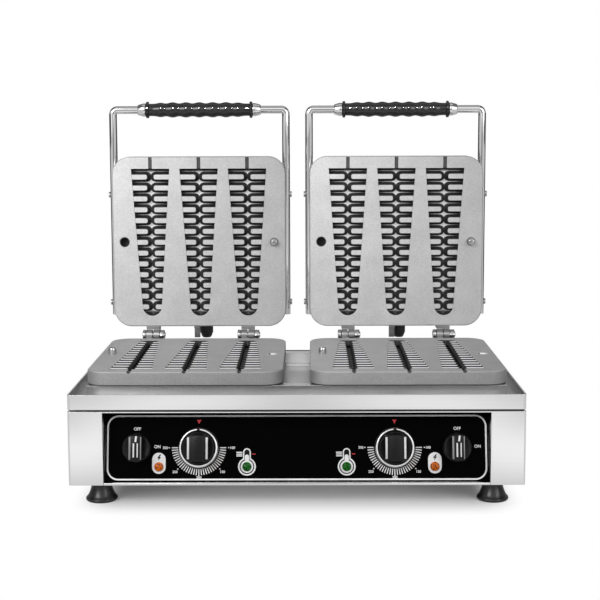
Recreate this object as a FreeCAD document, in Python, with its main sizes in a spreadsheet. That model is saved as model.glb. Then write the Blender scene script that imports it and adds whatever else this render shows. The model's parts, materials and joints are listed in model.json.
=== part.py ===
import FreeCAD, Part
import os
import re
import Sketcher

# A double waffle-stick iron: two pairs of hinged baking plates over a drip tray and a switch box.
# X runs to the right, Y to the back and Z up, from the middle of the footprint on the table.

doc = FreeCAD.newDocument("waffle_stick_iron")
sheet = doc.addObject("Spreadsheet::Sheet", "dims")

sizes = {
    # drip tray
    "tray_front": 147.5, "rear_margin": 26, "skirt_height": 17,
    "rim_wall": 2, "rim_depth": 14.5, "tray_floor": 1.5, "tray_ledge": 16, "tray_corner": 4,
    "cable_hole": 14,
    # seal between tray and body
    "seal_thickness": 2, "seal_width": 9, "seal_inset": 2.5,
    # body shell
    "body_height": 84, "sheet_wall": 1.5, "body_corner": 3, "top_flange": 16,
    "post_width": 39, "post_return": 30, "slot_width": 4, "slot_height": 34, "slot_pitch": 12,
    "slot_count": 8, "slot_spread": 150,
    # bottom cover
    "cover_lip": 10, "cover_clearance": 0.2, "vent_width": 5, "vent_length": 60, "vent_pitch": 15,
    "vent_count": 9,
    # feet
    "foot_height": 24, "foot_base": 36, "foot_top": 22, "foot_brim": 4.5, "foot_round": 1.5,
    "foot_side": 32.5, "foot_front": 28, "foot_bore": 5.5, "foot_well": 12, "foot_well_depth": 12,
    "foot_screw": 5, "foot_screw_head": 10, "foot_screw_head_height": 3, "foot_nut": 8,
    "foot_nut_height": 4, "foot_screw_tip": 1.5,
    # control panel, measured along its slope from its lower edge
    "panel_tilt": 13, "panel_recess": 6.5, "panel_rise": 2, "panel_height": 80.5,
    "panel_thickness": 2, "panel_clearance": 0.3, "knob_row": 38.2, "lamp_row": 17.1,
    "switch_inset": 36, "amber_inset": 61, "dial_inset": 106, "green_inset": 160,
    # knobs
    "knob_gap": 0.6, "spindle": 6, "spindle_clearance": 0.05, "spindle_length": 14,
    "switch_knob": 33, "switch_disc": 8, "switch_bar": 15.5, "switch_bar_height": 9,
    "dial_knob": 38, "dial_disc": 11, "dial_bar": 21, "dial_bar_height": 11, "dial_ring": 44.5,
    "dial_ring_height": 9, "dial_ring_gap": 0.05, "knob_bevel": 1.6,
    "switch_case": 32, "switch_case_depth": 22, "thermostat_case": 34, "thermostat_depth": 24,
    # pilot lamps
    "lens_size": 10.2, "lens_height": 3.2, "lens_round": 2.4, "lens_stem": 8, "lens_stem_clearance": 0.1,
    "holder_size": 11, "holder_length": 20,
    # support rails
    "rail_height": 18.5, "rail_setback": 3, "rail_flange": 12, "rail_end_gap": 17,
    # baking plates
    "plate_gap": 31, "plate_thickness": 16.5, "plate_corner": 23, "plate_edge": 1.2, "plate_setback": 28,
    # waffle moulds
    "mould_gap": 13, "mould_margin": 24.75, "mould_wide": 49.5, "mould_narrow": 25, "mould_front": 15.5,
    "mould_rear": 14, "mould_length": 191.5, "mould_depth": 10, "mould_draft": 6, "rib_count": 13,
    "rib_width": 10.2, "rib_lead": 10.6, "rib_tail": 11.7, "rib_drop": 1.2, "rib_bevel": 3.2,
    "rib_draft": 7, "rib_root": 2, "channel_width": 5, "stick_groove": 4.6, "groove_overlap": 1.5,
    # guide pins and holes
    "guide_inset": 15, "guide_pin": 9.5, "guide_pin_height": 8.5, "guide_pin_tip": 6,
    "guide_pin_taper": 3.5, "guide_shank": 6, "guide_shank_depth": 8, "guide_fit": 0.02,
    "guide_hole": 11, "guide_hole_depth": 11, "guide_mouth": 1.5,
    # heating elements
    "element_size": 8, "element_gap": 0.3, "element_inset": 37, "element_margin": 56,
    "element_rear": 60, "element_tail": 14, "element_tail_size": 5,
    # covers over the elements
    "pan_depth": 16, "pan_inset": 14, "pan_margin": 18, "pan_wall": 1,
    "lid_depth": 24, "lid_wall": 1.2, "lid_corner": 14, "lid_rear": 12, "lid_front": 8, "lid_round": 3,
    "lid_screw": 4, "lid_screw_head": 8, "lid_screw_head_height": 2.5, "lid_screw_inset": 32,
    "lid_screw_end": 35.5, "screw_fit": 0.1,
    # hinges, measured from the hinge axis
    "hinge_back": 11.5, "hinge_rise": 2.5, "part_gap": 0.5, "hinge_inset": 50, "ear_radius": 7,
    "ear_thickness": 8, "ear_slit": 1.2, "ear_flange": 4, "ear_foot": 15.5, "ear_lift": 1,
    "heel_drop": 8.2, "heel_reach": 8, "heel_gap": 0.3, "shelf_thickness": 5, "hinge_pin": 8,
    "pin_clearance": 0.05, "pin_head": 13, "pin_head_height": 4.5, "pin_washer": 0.3, "pin_nut": 12,
    "pin_nut_height": 5.5, "pin_round": 1.5,
    # bail handles
    "rod_size": 10, "rod_back": 7, "bail_outset": 0.5, "bail_reach": 60, "bail_tail": 12.5,
    "bail_elbow": 8, "bail_bolt": 5, "bail_bolt_low": 29, "bail_bolt_end": 50,
    "bail_bolt_head": 9, "bail_bolt_head_height": 3, "bail_bolt_inside": 8, "cover_side_gap": 0.4,
    # grips
    "grip_length": 138, "grip_body": 18.5, "grip_end": 20.5, "grip_end_width": 4, "grip_waist": 16.5,
    "grip_wave": 0.6, "grip_wave_pitch": 17.3, "grip_fit": 0.05, "collar_length": 11, "collar_size": 17,
    "collar_nose": 12,
    # lid cable glands and brackets
    "gland_offset": 6, "gland_flange": 19, "gland_flange_height": 7, "gland_neck": 15,
    "gland_nut": 17, "gland_nut_height": 10, "gland_length": 31, "gland_bore": 7, "gland_depth": 12,
    "gland_spigot": 12, "gland_spigot_length": 6, "gland_fit": 0.1,
    "bracket_width": 7.4, "bracket_side": 1, "bracket_length": 16, "bracket_wall": 3,
    "bracket_depth": 8, "bracket_foot": 12,
    # terminal block
    "block_length": 60, "block_width": 24, "block_height": 20, "block_back": 40, "block_bore": 5,
    "block_pitch": 11, "block_ways": 5,
}
for row, (name, value) in enumerate(sizes.items(), start=1):
    sheet.set(f"A{row}", name.replace("_", " "))
    sheet.set(f"B{row}", str(value))
    sheet.setAlias(f"B{row}", name)
doc.recompute()

nodes = {}

# Sizes and places that follow from the driving ones, from the moulds out and from the feet up
derived = {
    "mould_pitch": "mould_wide + mould_gap",
    "rib_pitch": "(mould_length - rib_lead - rib_tail) / (rib_count - 1)",
    "plate_width": "3 * mould_wide + 2 * mould_gap + 2 * mould_margin",
    "plate_length": "mould_front + mould_length + mould_rear",
    "lid_spacing": "plate_width + plate_gap",
    "tray_width": "2 * lid_spacing",
    "tray_depth": "plate_setback + plate_length + rear_margin",
    "tray_back": "tray_depth - tray_front",
    "rail_length": "tray_width - 2 * rail_end_gap",
    "panel_half": "tray_width / 2 - post_width",
    "switch_spread": "panel_half - switch_inset",
    "amber_spread": "panel_half - amber_inset",
    "dial_spread": "panel_half - dial_inset",
    "green_spread": "panel_half - green_inset",
    "guide_spread": "plate_width / 2 - guide_inset",
    "element_bend": "(plate_width / 2 - element_inset) / 3",
    "element_front": "plate_length - element_margin",
    "pan_side": "plate_width / 2 - pan_inset",
    "lid_screw_x": "plate_width / 2 - lid_screw_inset",
    "lid_screw_y": "plate_length / 2 - lid_screw_end",
    "hinge_spread": "plate_width / 2 - hinge_inset",
    "bail_spread": "plate_width / 2 + bail_outset",
    "bail_bolt_high": "plate_length - bail_bolt_end",
    "cover_side": "bail_spread - rod_size / 2 - cover_side_gap",
    "rod_z": "-plate_thickness - rod_back",
    "bar_y": "-plate_length - bail_reach",
    "body_top": "foot_height + body_height",
    "tray_bottom": "body_top + seal_thickness",
    "rim_top": "tray_bottom + skirt_height",
    "floor_top": "rim_top - rim_depth",
    "plate_under": "floor_top + rail_height",
    "plate_face": "plate_under + plate_thickness",
    "plate_front": "plate_setback - tray_front",
    "plate_rear": "plate_front + plate_length",
    "hinge_y": "plate_rear + hinge_back",
    "hinge_z": "plate_face + hinge_rise",
}
lid_places = {"left": "-lid_spacing / 2", "right": "lid_spacing / 2"}

# An upper plate is the lower casting turned over and stood on its hinge edge
stood_up = FreeCAD.Rotation(FreeCAD.Vector(0, 1, -1), 180)
unturned = FreeCAD.Rotation()


def bound(text):
    """An expression of named sizes, written out in the sheet's cells."""
    def written_out(word):
        name = word[0]
        if name in derived:
            return f"({bound(derived[name])})"
        return f"dims.{name}" if name in sizes else name
    return re.sub(r"[a-z_]+", written_out, text)


def number(text):
    return float(sheet.evalExpression(bound(text)))


def put(thing, x="0", y="0", z="0", turn=unturned):
    thing.Placement = FreeCAD.Placement(FreeCAD.Vector(), turn)
    for axis, text in zip("xyz", (x, y, z)):
        thing.setExpression(f"Placement.Base.{axis}", bound(text))
    return thing


def copy_of(source, label, x="0", y="0", z="0", turn=unturned):
    link = doc.addObject("App::Link", label)
    link.LinkedObject = source
    return put(link, x, y, z, turn)


def node(thing, label):
    thing.Label = label
    nodes[label] = thing
    return thing


def group(label, pieces):
    compound = doc.addObject("Part::Compound", label)
    compound.Links = pieces
    return node(compound, label)


def new_body(label):
    return doc.addObject("PartDesign::Body", label)


def origin_part(body, role):
    return next(part for part in body.Origin.OriginFeatures if part.Role == role)


def pin_point(sketch, edge, end, x, y):
    """Bind one end of an edge to two expressions."""
    for kind, text in (("DistanceX", x), ("DistanceY", y)):
        index = sketch.addConstraint(Sketcher.Constraint(kind, -1, 1, edge, end, number(text)))
        sketch.setExpression(f"Constraints[{index}]", bound(text))


def draw(body, role, loops=(), circles=(), tips=(), lift="0"):
    """A sketch of straight loops, circles and loops whose last side is a half round tip."""
    sketch = body.newObject("Sketcher::SketchObject", f"{body.Name}_sketch")
    sketch.AttachmentSupport = (origin_part(body, role), [""])
    sketch.MapMode = "FlatFace"
    sketch.setExpression("AttachmentOffset.Base.z", bound(lift))
    for points in list(loops) + list(tips):
        places = [FreeCAD.Vector(number(x), number(y), 0) for x, y in points]
        first = sketch.GeometryCount
        rounded = points in tips
        for index, place in enumerate(places):
            after = places[(index + 1) % len(places)]
            if rounded and index == len(places) - 1:
                middle = (place + after) / 2
                circle = Part.Circle(middle, FreeCAD.Vector(0, 0, 1), place.distanceToPoint(after) / 2)
                sketch.addGeometry(Part.ArcOfCircle(circle, 0, 3.141592653589793), False)
            else:
                sketch.addGeometry(Part.LineSegment(place, after), False)
        for index in range(len(places)):
            after = first + (index + 1) % len(places)
            sketch.addConstraint(Sketcher.Constraint("Coincident", first + index, 2, after, 1))
        straight = points[:-1] if rounded else points
        for index, (x, y) in enumerate(straight):
            pin_point(sketch, first + index, 1, x, y)
        if rounded:
            last = first + len(points) - 1
            x, y = points[-1]
            pin_point(sketch, last, 1, x, y)
            index = sketch.addConstraint(Sketcher.Constraint("DistanceY", -1, 1, last, 3, number(y)))
            sketch.setExpression(f"Constraints[{index}]", bound(y))
    for x, y, diameter in circles:
        centre = FreeCAD.Vector(number(x), number(y), 0)
        edge = sketch.GeometryCount
        sketch.addGeometry(Part.Circle(centre, FreeCAD.Vector(0, 0, 1), number(diameter) / 2), False)
        pin_point(sketch, edge, 3, x, y)
        index = sketch.addConstraint(Sketcher.Constraint("Diameter", edge, number(diameter)))
        sketch.setExpression(f"Constraints[{index}]", bound(diameter))
    return sketch


def box_loop(left, front, right, back):
    return [(left, front), (right, front), (right, back), (left, back)]


def centred(width, depth):
    return box_loop(f"-({width}) / 2", f"-({depth}) / 2", f"({width}) / 2", f"({depth}) / 2")


def pad(body, sketch, length, backwards=False, draft=None):
    feature = body.newObject("PartDesign::Pad", f"{body.Name}_pad")
    feature.Profile = sketch
    feature.Reversed = backwards
    feature.setExpression("Length", bound(length))
    if draft:
        feature.setExpression("TaperAngle", bound(draft))
    doc.recompute()
    return feature


def pocket(body, sketch, length, backwards=False, draft=None):
    before = body.Shape.Volume
    feature = body.newObject("PartDesign::Pocket", f"{body.Name}_pocket")
    feature.Profile = sketch
    feature.Reversed = backwards
    feature.setExpression("Length", bound(length))
    if draft:
        feature.setExpression("TaperAngle", bound(draft))
    doc.recompute()
    if body.Shape.Volume >= before:
        raise RuntimeError(f"{feature.Name} cuts nothing")
    return feature


def row_of(body, feature, role, count, pitch):
    """Repeat a feature along one of its body's axes."""
    pattern = body.newObject("PartDesign::LinearPattern", f"{body.Name}_row")
    pattern.Originals = [feature]
    pattern.Direction = (origin_part(body, role), [""])
    pattern.setExpression("Occurrences", bound(count))
    pattern.setExpression("Length", bound(f"({count} - 1) * {pitch}"))
    body.Tip = pattern
    doc.recompute()
    return pattern


def edges_where(body, wanted):
    return [f"Edge{index}" for index, edge in enumerate(body.Shape.Edges, start=1) if wanted(edge)]


def soften(body, wanted, radius, kind="Fillet"):
    """Round or bevel the edges of a body that a test picks out."""
    base, edges = body.Tip, edges_where(body, wanted)
    feature = body.newObject(f"PartDesign::{kind}", f"{body.Name}_{kind.lower()}")
    feature.Base = (base, edges)
    feature.setExpression("Radius" if kind == "Fillet" else "Size", bound(radius))
    body.Tip = feature
    doc.recompute()
    return feature


def hollow(body, wanted, wall):
    """Leave only a wall of a solid body, open at the face that a test picks out."""
    base = body.Tip
    faces = [f"Face{index}" for index, face in enumerate(body.Shape.Faces, start=1) if wanted(face)]
    feature = body.newObject("PartDesign::Thickness", f"{body.Name}_hollow")
    feature.Base = (base, faces)
    feature.Reversed = True
    feature.setExpression("Value", bound(wall))
    body.Tip = feature
    doc.recompute()
    return feature


def upright(edge):
    box = edge.BoundBox
    return box.ZLength > 0.01 and box.XLength < 1e-6 and box.YLength < 1e-6


def at_height(text):
    height = number(text)

    def flat(piece):
        box = piece.BoundBox
        return abs(box.ZMin - height) < 1e-6 and abs(box.ZMax - height) < 1e-6
    return flat


def turned(label, profile):
    """A body of revolution about Z from a half profile of radius and height."""
    body = new_body(label)
    sketch = draw(body, "XZ_Plane", [profile])
    feature = body.newObject("PartDesign::Revolution", f"{label}_turn")
    feature.Profile = sketch
    feature.ReferenceAxis = (sketch, ["V_Axis"])
    feature.Angle = 360
    doc.recompute()
    return body


def hex_nut(label, across_flats, bore, lift, height):
    body = new_body(label)
    radius = f"{across_flats} / 2 / cos(30)"
    corners = []
    for step in range(6):
        corners.append((f"{radius} * cos({60 * step})", f"{radius} * sin({60 * step})"))
    pad(body, draw(body, "XY_Plane", [corners], circles=[("0", "0", bore)], lift=lift), height)
    return body


def rod(label, diameter, length, x="0", y="0", z="0", turn=unturned):
    cylinder = doc.addObject("Part::Cylinder", label)
    cylinder.setExpression("Radius", bound(f"({diameter}) / 2"))
    cylinder.setExpression("Height", bound(length))
    return put(cylinder, x, y, z, turn)


def bend(label, radius, diameter, angle, x, y, z, turn):
    torus = doc.addObject("Part::Torus", label)
    torus.setExpression("Radius1", bound(radius))
    torus.setExpression("Radius2", bound(f"({diameter}) / 2"))
    torus.Angle3 = angle
    return put(torus, x, y, z, turn)


def fused(label, pieces):
    union = doc.addObject("Part::MultiFuse", label)
    union.Shapes = pieces
    union.Refine = True
    doc.recompute()
    return union


def cut(label, base, tools):
    result = doc.addObject("Part::Cut", label)
    result.Base = base
    result.Tool = tools[0] if len(tools) == 1 else fused(f"{label}_tools", tools)
    doc.recompute()
    return result


along_x = FreeCAD.Rotation(FreeCAD.Vector(0, 1, 0), 90)
along_minus_x = FreeCAD.Rotation(FreeCAD.Vector(0, 1, 0), -90)
along_y = FreeCAD.Rotation(FreeCAD.Vector(1, 0, 0), -90)
along_minus_y = FreeCAD.Rotation(FreeCAD.Vector(1, 0, 0), 90)


# Body shell: folded sides, back, front posts with their returns, and a flange under the tray
def make_body_shell():
    body = new_body("body_shell")
    pad(body, draw(body, "XY_Plane", [centred("tray_width", "tray_depth")]), "body_height")
    soften(body, upright, "body_corner")
    inner = centred("tray_width - 2 * sheet_wall", "tray_depth - 2 * sheet_wall")
    pocket(body, draw(body, "XY_Plane", [inner]), "body_height - sheet_wall", backwards=True)
    mouth = centred("tray_width - 2 * top_flange", "tray_depth - 2 * top_flange")
    pocket(body, draw(body, "XY_Plane", [mouth], lift="body_height"), "sheet_wall")
    post = "(tray_width / 2 - post_width)"
    front = "tray_depth / 2"
    window = box_loop(f"-{post}", "0", post, "body_height - sheet_wall")
    pocket(body, draw(body, "XZ_Plane", [window], lift=front), "sheet_wall")
    returns = []
    for near, far in ((post, f"{post} + sheet_wall"), (f"-{post} - sheet_wall", f"-{post}")):
        returns.append(box_loop(near, f"-{front}", far, f"post_return - {front}"))
    ground = "(sheet_wall + cover_clearance)"
    pad(body, draw(body, "XY_Plane", returns, lift=ground), f"body_height - sheet_wall - {ground}")
    slots = []
    for side in ("slot_spread", "-slot_spread"):
        middle = f"({side} - (slot_count - 1) * slot_pitch / 2)"
        slots.append(box_loop(f"{middle} - slot_width / 2", "(body_height - slot_height) / 2",
                              f"{middle} + slot_width / 2", "(body_height + slot_height) / 2"))
    slot = pocket(body, draw(body, "XZ_Plane", slots, lift=f"-{front}"), "sheet_wall", backwards=True)
    row_of(body, slot, "X_Axis", "slot_count", "slot_pitch")
    hole = [("0", "body_height / 2", "gland_spigot + 2 * gland_fit")]
    pocket(body, draw(body, "XZ_Plane", circles=hole, lift=f"-{front}"), "sheet_wall", backwards=True)
    put(body, y="tray_depth / 2 - tray_front", z="foot_height")
    node(body, "body_shell")


# Places of the feet, from the middle of the body
foot_places = []
for foot_x in ("foot_side - tray_width / 2", "tray_width / 2 - foot_side"):
    for foot_y in ("foot_front - tray_front", "tray_depth - tray_front - foot_front"):
        foot_places.append((foot_x, foot_y))


# Bottom cover: a shallow pan inside the shell's walls, with vents and the foot screw holes
def make_bottom_cover():
    body = new_body("bottom_cover")
    width = "(tray_width - 2 * sheet_wall - 2 * cover_clearance)"
    depth = "(tray_depth - 2 * sheet_wall - 2 * cover_clearance)"
    pad(body, draw(body, "XY_Plane", [centred(width, depth)]), "cover_lip")
    inner = centred(f"{width} - 2 * sheet_wall", f"{depth} - 2 * sheet_wall")
    pocket(body, draw(body, "XY_Plane", [inner], lift="cover_lip"), "cover_lip - sheet_wall")
    side = "(panel_half + sheet_wall + cover_clearance)"
    opening = box_loop(f"-{side}", f"-{depth} / 2", side, f"sheet_wall - {depth} / 2")
    pocket(body, draw(body, "XY_Plane", [opening], lift="cover_lip"), "cover_lip - sheet_wall")
    shift = "(tray_depth / 2 - tray_front)"
    holes = [(x, f"{y} - {shift}", "foot_bore") for x, y in foot_places]
    pocket(body, draw(body, "XY_Plane", circles=holes, lift="sheet_wall"), "sheet_wall")
    start = "(1 - vent_count) * vent_pitch / 2"
    vent = box_loop(f"{start} - vent_width / 2", "-vent_length / 2",
                    f"{start} + vent_width / 2", "vent_length / 2")
    slot = pocket(body, draw(body, "XY_Plane", [vent], lift="sheet_wall"), "sheet_wall")
    row_of(body, slot, "X_Axis", "vent_count", "vent_pitch")
    put(body, y=shift, z="foot_height")
    node(body, "bottom_cover")


# Feet: rubber cones with a brim, each on a screw from below
def make_feet():
    foot = turned("foot_form", [
        ("foot_bore / 2", "foot_well_depth"), ("foot_well / 2", "foot_well_depth"),
        ("foot_well / 2", "0"), ("foot_base / 2", "0"), ("foot_base / 2", "foot_brim"),
        ("foot_base / 2 - foot_brim / 2", "foot_brim"), ("foot_top / 2", "foot_height"),
        ("foot_bore / 2", "foot_height")])
    brim = number("foot_base / 2")

    def on_brim(edge):
        return abs(edge.BoundBox.XMax - brim) < 1e-6 and edge.BoundBox.ZLength < 1e-6
    soften(foot, on_brim, "foot_round")
    top = "(foot_height - foot_well_depth + sheet_wall)"
    tip = f"({top} + foot_nut_height + foot_screw_tip)"
    screw = turned("foot_screw_form", [
        ("0", "-foot_screw_head_height"), ("foot_screw_head / 2", "-foot_screw_head_height"),
        ("foot_screw_head / 2", "0"), ("foot_screw / 2", "0"), ("foot_screw / 2", tip), ("0", tip)])
    nut = hex_nut("foot_nut_form", "foot_nut", "foot_screw + 2 * screw_fit", top, "foot_nut_height")
    group("feet", [copy_of(foot, "foot", x, y) for x, y in foot_places])
    group("foot_screws", [copy_of(screw, "foot_screw", x, y, "foot_well_depth") for x, y in foot_places])
    group("foot_nuts", [copy_of(nut, "foot_nut", x, y, "foot_well_depth") for x, y in foot_places])


# Drip tray: a skirted sheet tray with a raised hem all round, flat ledge below
def make_tray():
    body = new_body("drip_tray")
    pad(body, draw(body, "XY_Plane", [centred("tray_width", "tray_depth")]), "skirt_height")
    soften(body, upright, "tray_corner")
    basin = centred("tray_width - 2 * rim_wall", "tray_depth - 2 * rim_wall")
    pocket(body, draw(body, "XY_Plane", [basin], lift="skirt_height"), "rim_depth")
    ledge = centred("tray_width - 2 * tray_ledge", "tray_depth - 2 * tray_ledge")
    under = "(skirt_height - rim_depth - tray_floor)"
    pocket(body, draw(body, "XY_Plane", [ledge]), under, backwards=True)
    holes = [(x, "0", "cable_hole") for x in lid_places.values()]
    pocket(body, draw(body, "XY_Plane", circles=holes, lift="skirt_height - rim_depth"), "tray_floor")
    put(body, y="tray_depth / 2 - tray_front", z="tray_bottom")
    node(body, "drip_tray")


# Seal: a flat ring that holds the tray a little above the body
def make_seal():
    body = new_body("tray_seal")
    outer = centred("tray_width - 2 * seal_inset", "tray_depth - 2 * seal_inset")
    edge = "(seal_inset + seal_width)"
    inner = centred(f"tray_width - 2 * {edge}", f"tray_depth - 2 * {edge}")
    pad(body, draw(body, "XY_Plane", [outer, inner]), "seal_thickness")
    put(body, y="tray_depth / 2 - tray_front", z="body_top")
    node(body, "tray_seal")


# Support rails: folded channels that stand on the tray floor under both plates
def make_rails():
    for label, start, sign in (("front_rail", "plate_front + rail_setback", ""),
                               ("rear_rail", "plate_rear - rail_setback", "-")):
        body = new_body(label)
        wall, reach = f"{sign}sheet_wall", f"{sign}rail_flange"
        channel = [("0", "0"), (reach, "0"), (reach, "sheet_wall"), (wall, "sheet_wall"),
                   (wall, "rail_height - sheet_wall"), (reach, "rail_height - sheet_wall"),
                   (reach, "rail_height"), ("0", "rail_height")]
        pad(body, draw(body, "YZ_Plane", [channel], lift="-rail_length / 2"), "rail_length")
        put(body, y=start, z="floor_top")
        node(body, label)


# Control panel: a black plate that leans back between the posts
panel_turn = FreeCAD.Rotation(FreeCAD.Vector(1, 0, 0), -sizes["panel_tilt"])


def on_panel(thing, x="0", up="0", turn=unturned):
    """Place a piece on the sloping panel by its distance from the middle and up the slope."""
    put(thing, x, f"panel_recess - tray_front + ({up}) * sin(panel_tilt)",
        f"foot_height + panel_rise + ({up}) * cos(panel_tilt)", panel_turn * turn)
    return thing


def panel_copy(source, label, x, up, turn=unturned):
    return on_panel(copy_of(source, label), x, up, turn)


sides = {"left": "-", "right": ""}


def make_panel():
    body = new_body("control_panel")
    half = "(tray_width / 2 - post_width - panel_clearance)"
    plate = box_loop(f"-{half}", "0", half, "panel_height")
    pad(body, draw(body, "XZ_Plane", [plate]), "panel_thickness", backwards=True)
    holes = []
    for sign in sides.values():
        for spread in ("switch_spread", "dial_spread"):
            holes.append((f"{sign}{spread}", "knob_row", "spindle + 2 * spindle_clearance"))
        for spread in ("amber_spread", "green_spread"):
            holes.append((f"{sign}{spread}", "lamp_row", "lens_stem + 2 * lens_stem_clearance"))
    pocket(body, draw(body, "XZ_Plane", circles=holes), "panel_thickness")
    on_panel(body)
    node(body, "control_panel")


def knob_body(label, diameter, disc, bar_width, bar_height):
    """A round knob with a raised finger bar in front and its spindle behind."""
    body = new_body(label)
    pad(body, draw(body, "XZ_Plane", circles=[("0", "0", diameter)], lift="knob_gap"), disc)
    ends = f"sqrt(({diameter}) ^ 2 - ({bar_width}) ^ 2) / 2"
    bar = box_loop(f"-{bar_width} / 2", f"-{ends}", f"{bar_width} / 2", ends)
    pad(body, draw(body, "XZ_Plane", [bar], lift=f"knob_gap + {disc}"), bar_height)
    front = number(f"-knob_gap - {disc} - {bar_height}")

    def on_bar(edge):
        return abs(edge.BoundBox.YMin - front) < 1e-6 and edge.BoundBox.YLength < 1e-6
    soften(body, on_bar, "knob_bevel", "Chamfer")
    shaft = draw(body, "XZ_Plane", circles=[("0", "0", "spindle")], lift="knob_gap")
    pad(body, shaft, "knob_gap + spindle_length", backwards=True)
    return body


# Knobs, dial rings, and the switch and thermostat cases behind the panel
def make_controls():
    switch = knob_body("switch_knob_form", "switch_knob", "switch_disc",
                       "switch_bar", "switch_bar_height")
    dial = knob_body("dial_knob_form", "dial_knob", "dial_disc", "dial_bar", "dial_bar_height")
    ring = new_body("dial_ring_form")
    rims = [("0", "0", "dial_ring"), ("0", "0", "dial_knob + 2 * dial_ring_gap")]
    pad(ring, draw(ring, "XZ_Plane", circles=rims, lift="knob_gap"), "dial_ring_height")
    bore = [("0", "0", "spindle + 2 * spindle_clearance")]
    back = "-panel_thickness"
    case = new_body("switch_case_form")
    square = centred("switch_case", "switch_case")
    pad(case, draw(case, "XZ_Plane", [square], lift=back), "switch_case_depth", backwards=True)
    pocket(case, draw(case, "XZ_Plane", circles=bore, lift=back), "spindle_length")
    drum = new_body("thermostat_case_form")
    disc = [("0", "0", "thermostat_case")]
    pad(drum, draw(drum, "XZ_Plane", circles=disc, lift=back), "thermostat_depth", backwards=True)
    pocket(drum, draw(drum, "XZ_Plane", circles=bore, lift=back), "spindle_length")
    switches = []
    thermostats = []
    for side, sign in sides.items():
        switch_place = (f"{sign}switch_spread", "knob_row")
        dial_place = (f"{sign}dial_spread", "knob_row")
        node(panel_copy(switch, "switch_knob", *switch_place), f"{side}_switch_knob")
        node(panel_copy(dial, "dial_knob", *dial_place), f"{side}_dial_knob")
        node(panel_copy(ring, "dial_ring", *dial_place), f"{side}_dial_ring")
        switches.append(panel_copy(case, "switch", *switch_place))
        thermostats.append(panel_copy(drum, "thermostat", *dial_place))
    group("power_switches", switches)
    group("thermostats", thermostats)


# Pilot lamps: a domed lens with a stem through the panel, and a holder behind it
def make_lamps():
    stem = "(panel_thickness + lens_height)"
    lens = turned("lens_form", [
        ("0", f"-{stem}"), ("lens_stem / 2", f"-{stem}"), ("lens_stem / 2", "0"), ("lens_size / 2", "0"),
        ("lens_size / 2", "lens_height"), ("0", "lens_height")])
    soften(lens, at_height("lens_height"), "lens_round")
    fit = "(lens_stem / 2 + lens_stem_clearance)"
    back = "(-panel_thickness - holder_length)"
    holder = turned("holder_form", [
        ("0", f"-{stem}"), (fit, f"-{stem}"), (fit, "-panel_thickness"),
        ("holder_size / 2", "-panel_thickness"), ("holder_size / 2", back), ("0", back)])
    holders = []
    for label, spread in (("amber_lamps", "amber_spread"), ("green_lamps", "green_spread")):
        lenses = []
        for sign in sides.values():
            place = (f"{sign}{spread}", "lamp_row", along_minus_y)
            lenses.append(panel_copy(lens, "lens", *place))
            holders.append(panel_copy(holder, "holder", *place))
        group(label, lenses)
    group("lamp_holders", holders)


# Baking plate: rounded casting with three tapered moulds, ribbed across, and a stick groove to each
def make_plate():
    body = new_body("plate_form")
    outline = box_loop("-plate_width / 2", "-plate_length", "plate_width / 2", "0")
    pad(body, draw(body, "XY_Plane", [outline]), "plate_thickness", backwards=True)
    soften(body, upright, "plate_corner")
    soften(body, at_height("0"), "plate_edge", "Chamfer")
    near = "(mould_front - plate_length)"
    tip = f"({near} + mould_length - mould_narrow / 2)"
    columns = ("-mould_pitch", "0", "mould_pitch")
    moulds = []
    for middle in columns:
        moulds.append([(f"{middle} - mould_narrow / 2", tip), (f"{middle} - mould_wide / 2", near),
                       (f"{middle} + mould_wide / 2", near), (f"{middle} + mould_narrow / 2", tip)])
    pocket(body, draw(body, "XY_Plane", tips=moulds), "mould_depth", draft="-mould_draft")
    first = f"({near} + rib_lead)"
    low, high = f"{first} - rib_width / 2", f"{first} + rib_width / 2"
    outside = "(mould_pitch + mould_wide / 2 + rib_root)"
    half = "channel_width / 2"
    spans = [(f"-{outside}", f"-mould_pitch - {half}"), (f"-mould_pitch + {half}", f"-{half}"),
             (half, f"mould_pitch - {half}"), (f"mould_pitch + {half}", outside)]
    bars = []
    for left, right in spans:
        bars.append([(f"{left} + rib_bevel", low), (f"{right} - rib_bevel", low),
                     (right, f"{low} + rib_bevel"), (right, f"{high} - rib_bevel"),
                     (f"{right} - rib_bevel", high), (f"{left} + rib_bevel", high),
                     (left, f"{high} - rib_bevel"), (left, f"{low} + rib_bevel")])
    floor = draw(body, "XY_Plane", bars, lift="-mould_depth")
    ribs = pad(body, floor, "mould_depth - rib_drop", draft="-rib_draft")
    row_of(body, ribs, "Y_Axis", "rib_count", "rib_pitch")
    grooves = [(middle, "0", "stick_groove") for middle in columns]
    front = draw(body, "XZ_Plane", circles=grooves, lift="plate_length")
    pocket(body, front, "mould_front + groove_overlap")
    hole = [("guide_spread", "-plate_length / 2", "guide_hole")]
    pocket(body, draw(body, "XY_Plane", circles=hole), "guide_hole_depth")
    mouth = number("guide_spread - guide_hole / 2")
    on_face = at_height("0")

    def on_mouth(edge):
        return on_face(edge) and abs(edge.BoundBox.XMin - mouth) < 1e-6
    soften(body, on_mouth, "guide_mouth", "Chamfer")
    seat = [("-guide_spread", "-plate_length / 2", "guide_shank + 2 * guide_fit")]
    pocket(body, draw(body, "XY_Plane", circles=seat), "guide_shank_depth")
    return body


def make_guide_pin():
    shoulder = "(guide_pin_height - guide_pin_taper)"
    return turned("guide_pin_form", [
        ("0", "-guide_shank_depth"), ("guide_shank / 2", "-guide_shank_depth"), ("guide_shank / 2", "0"),
        ("guide_pin / 2", "0"), ("guide_pin / 2", shoulder), ("guide_pin_tip / 2", "guide_pin_height"),
        ("0", "guide_pin_height")])


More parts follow.
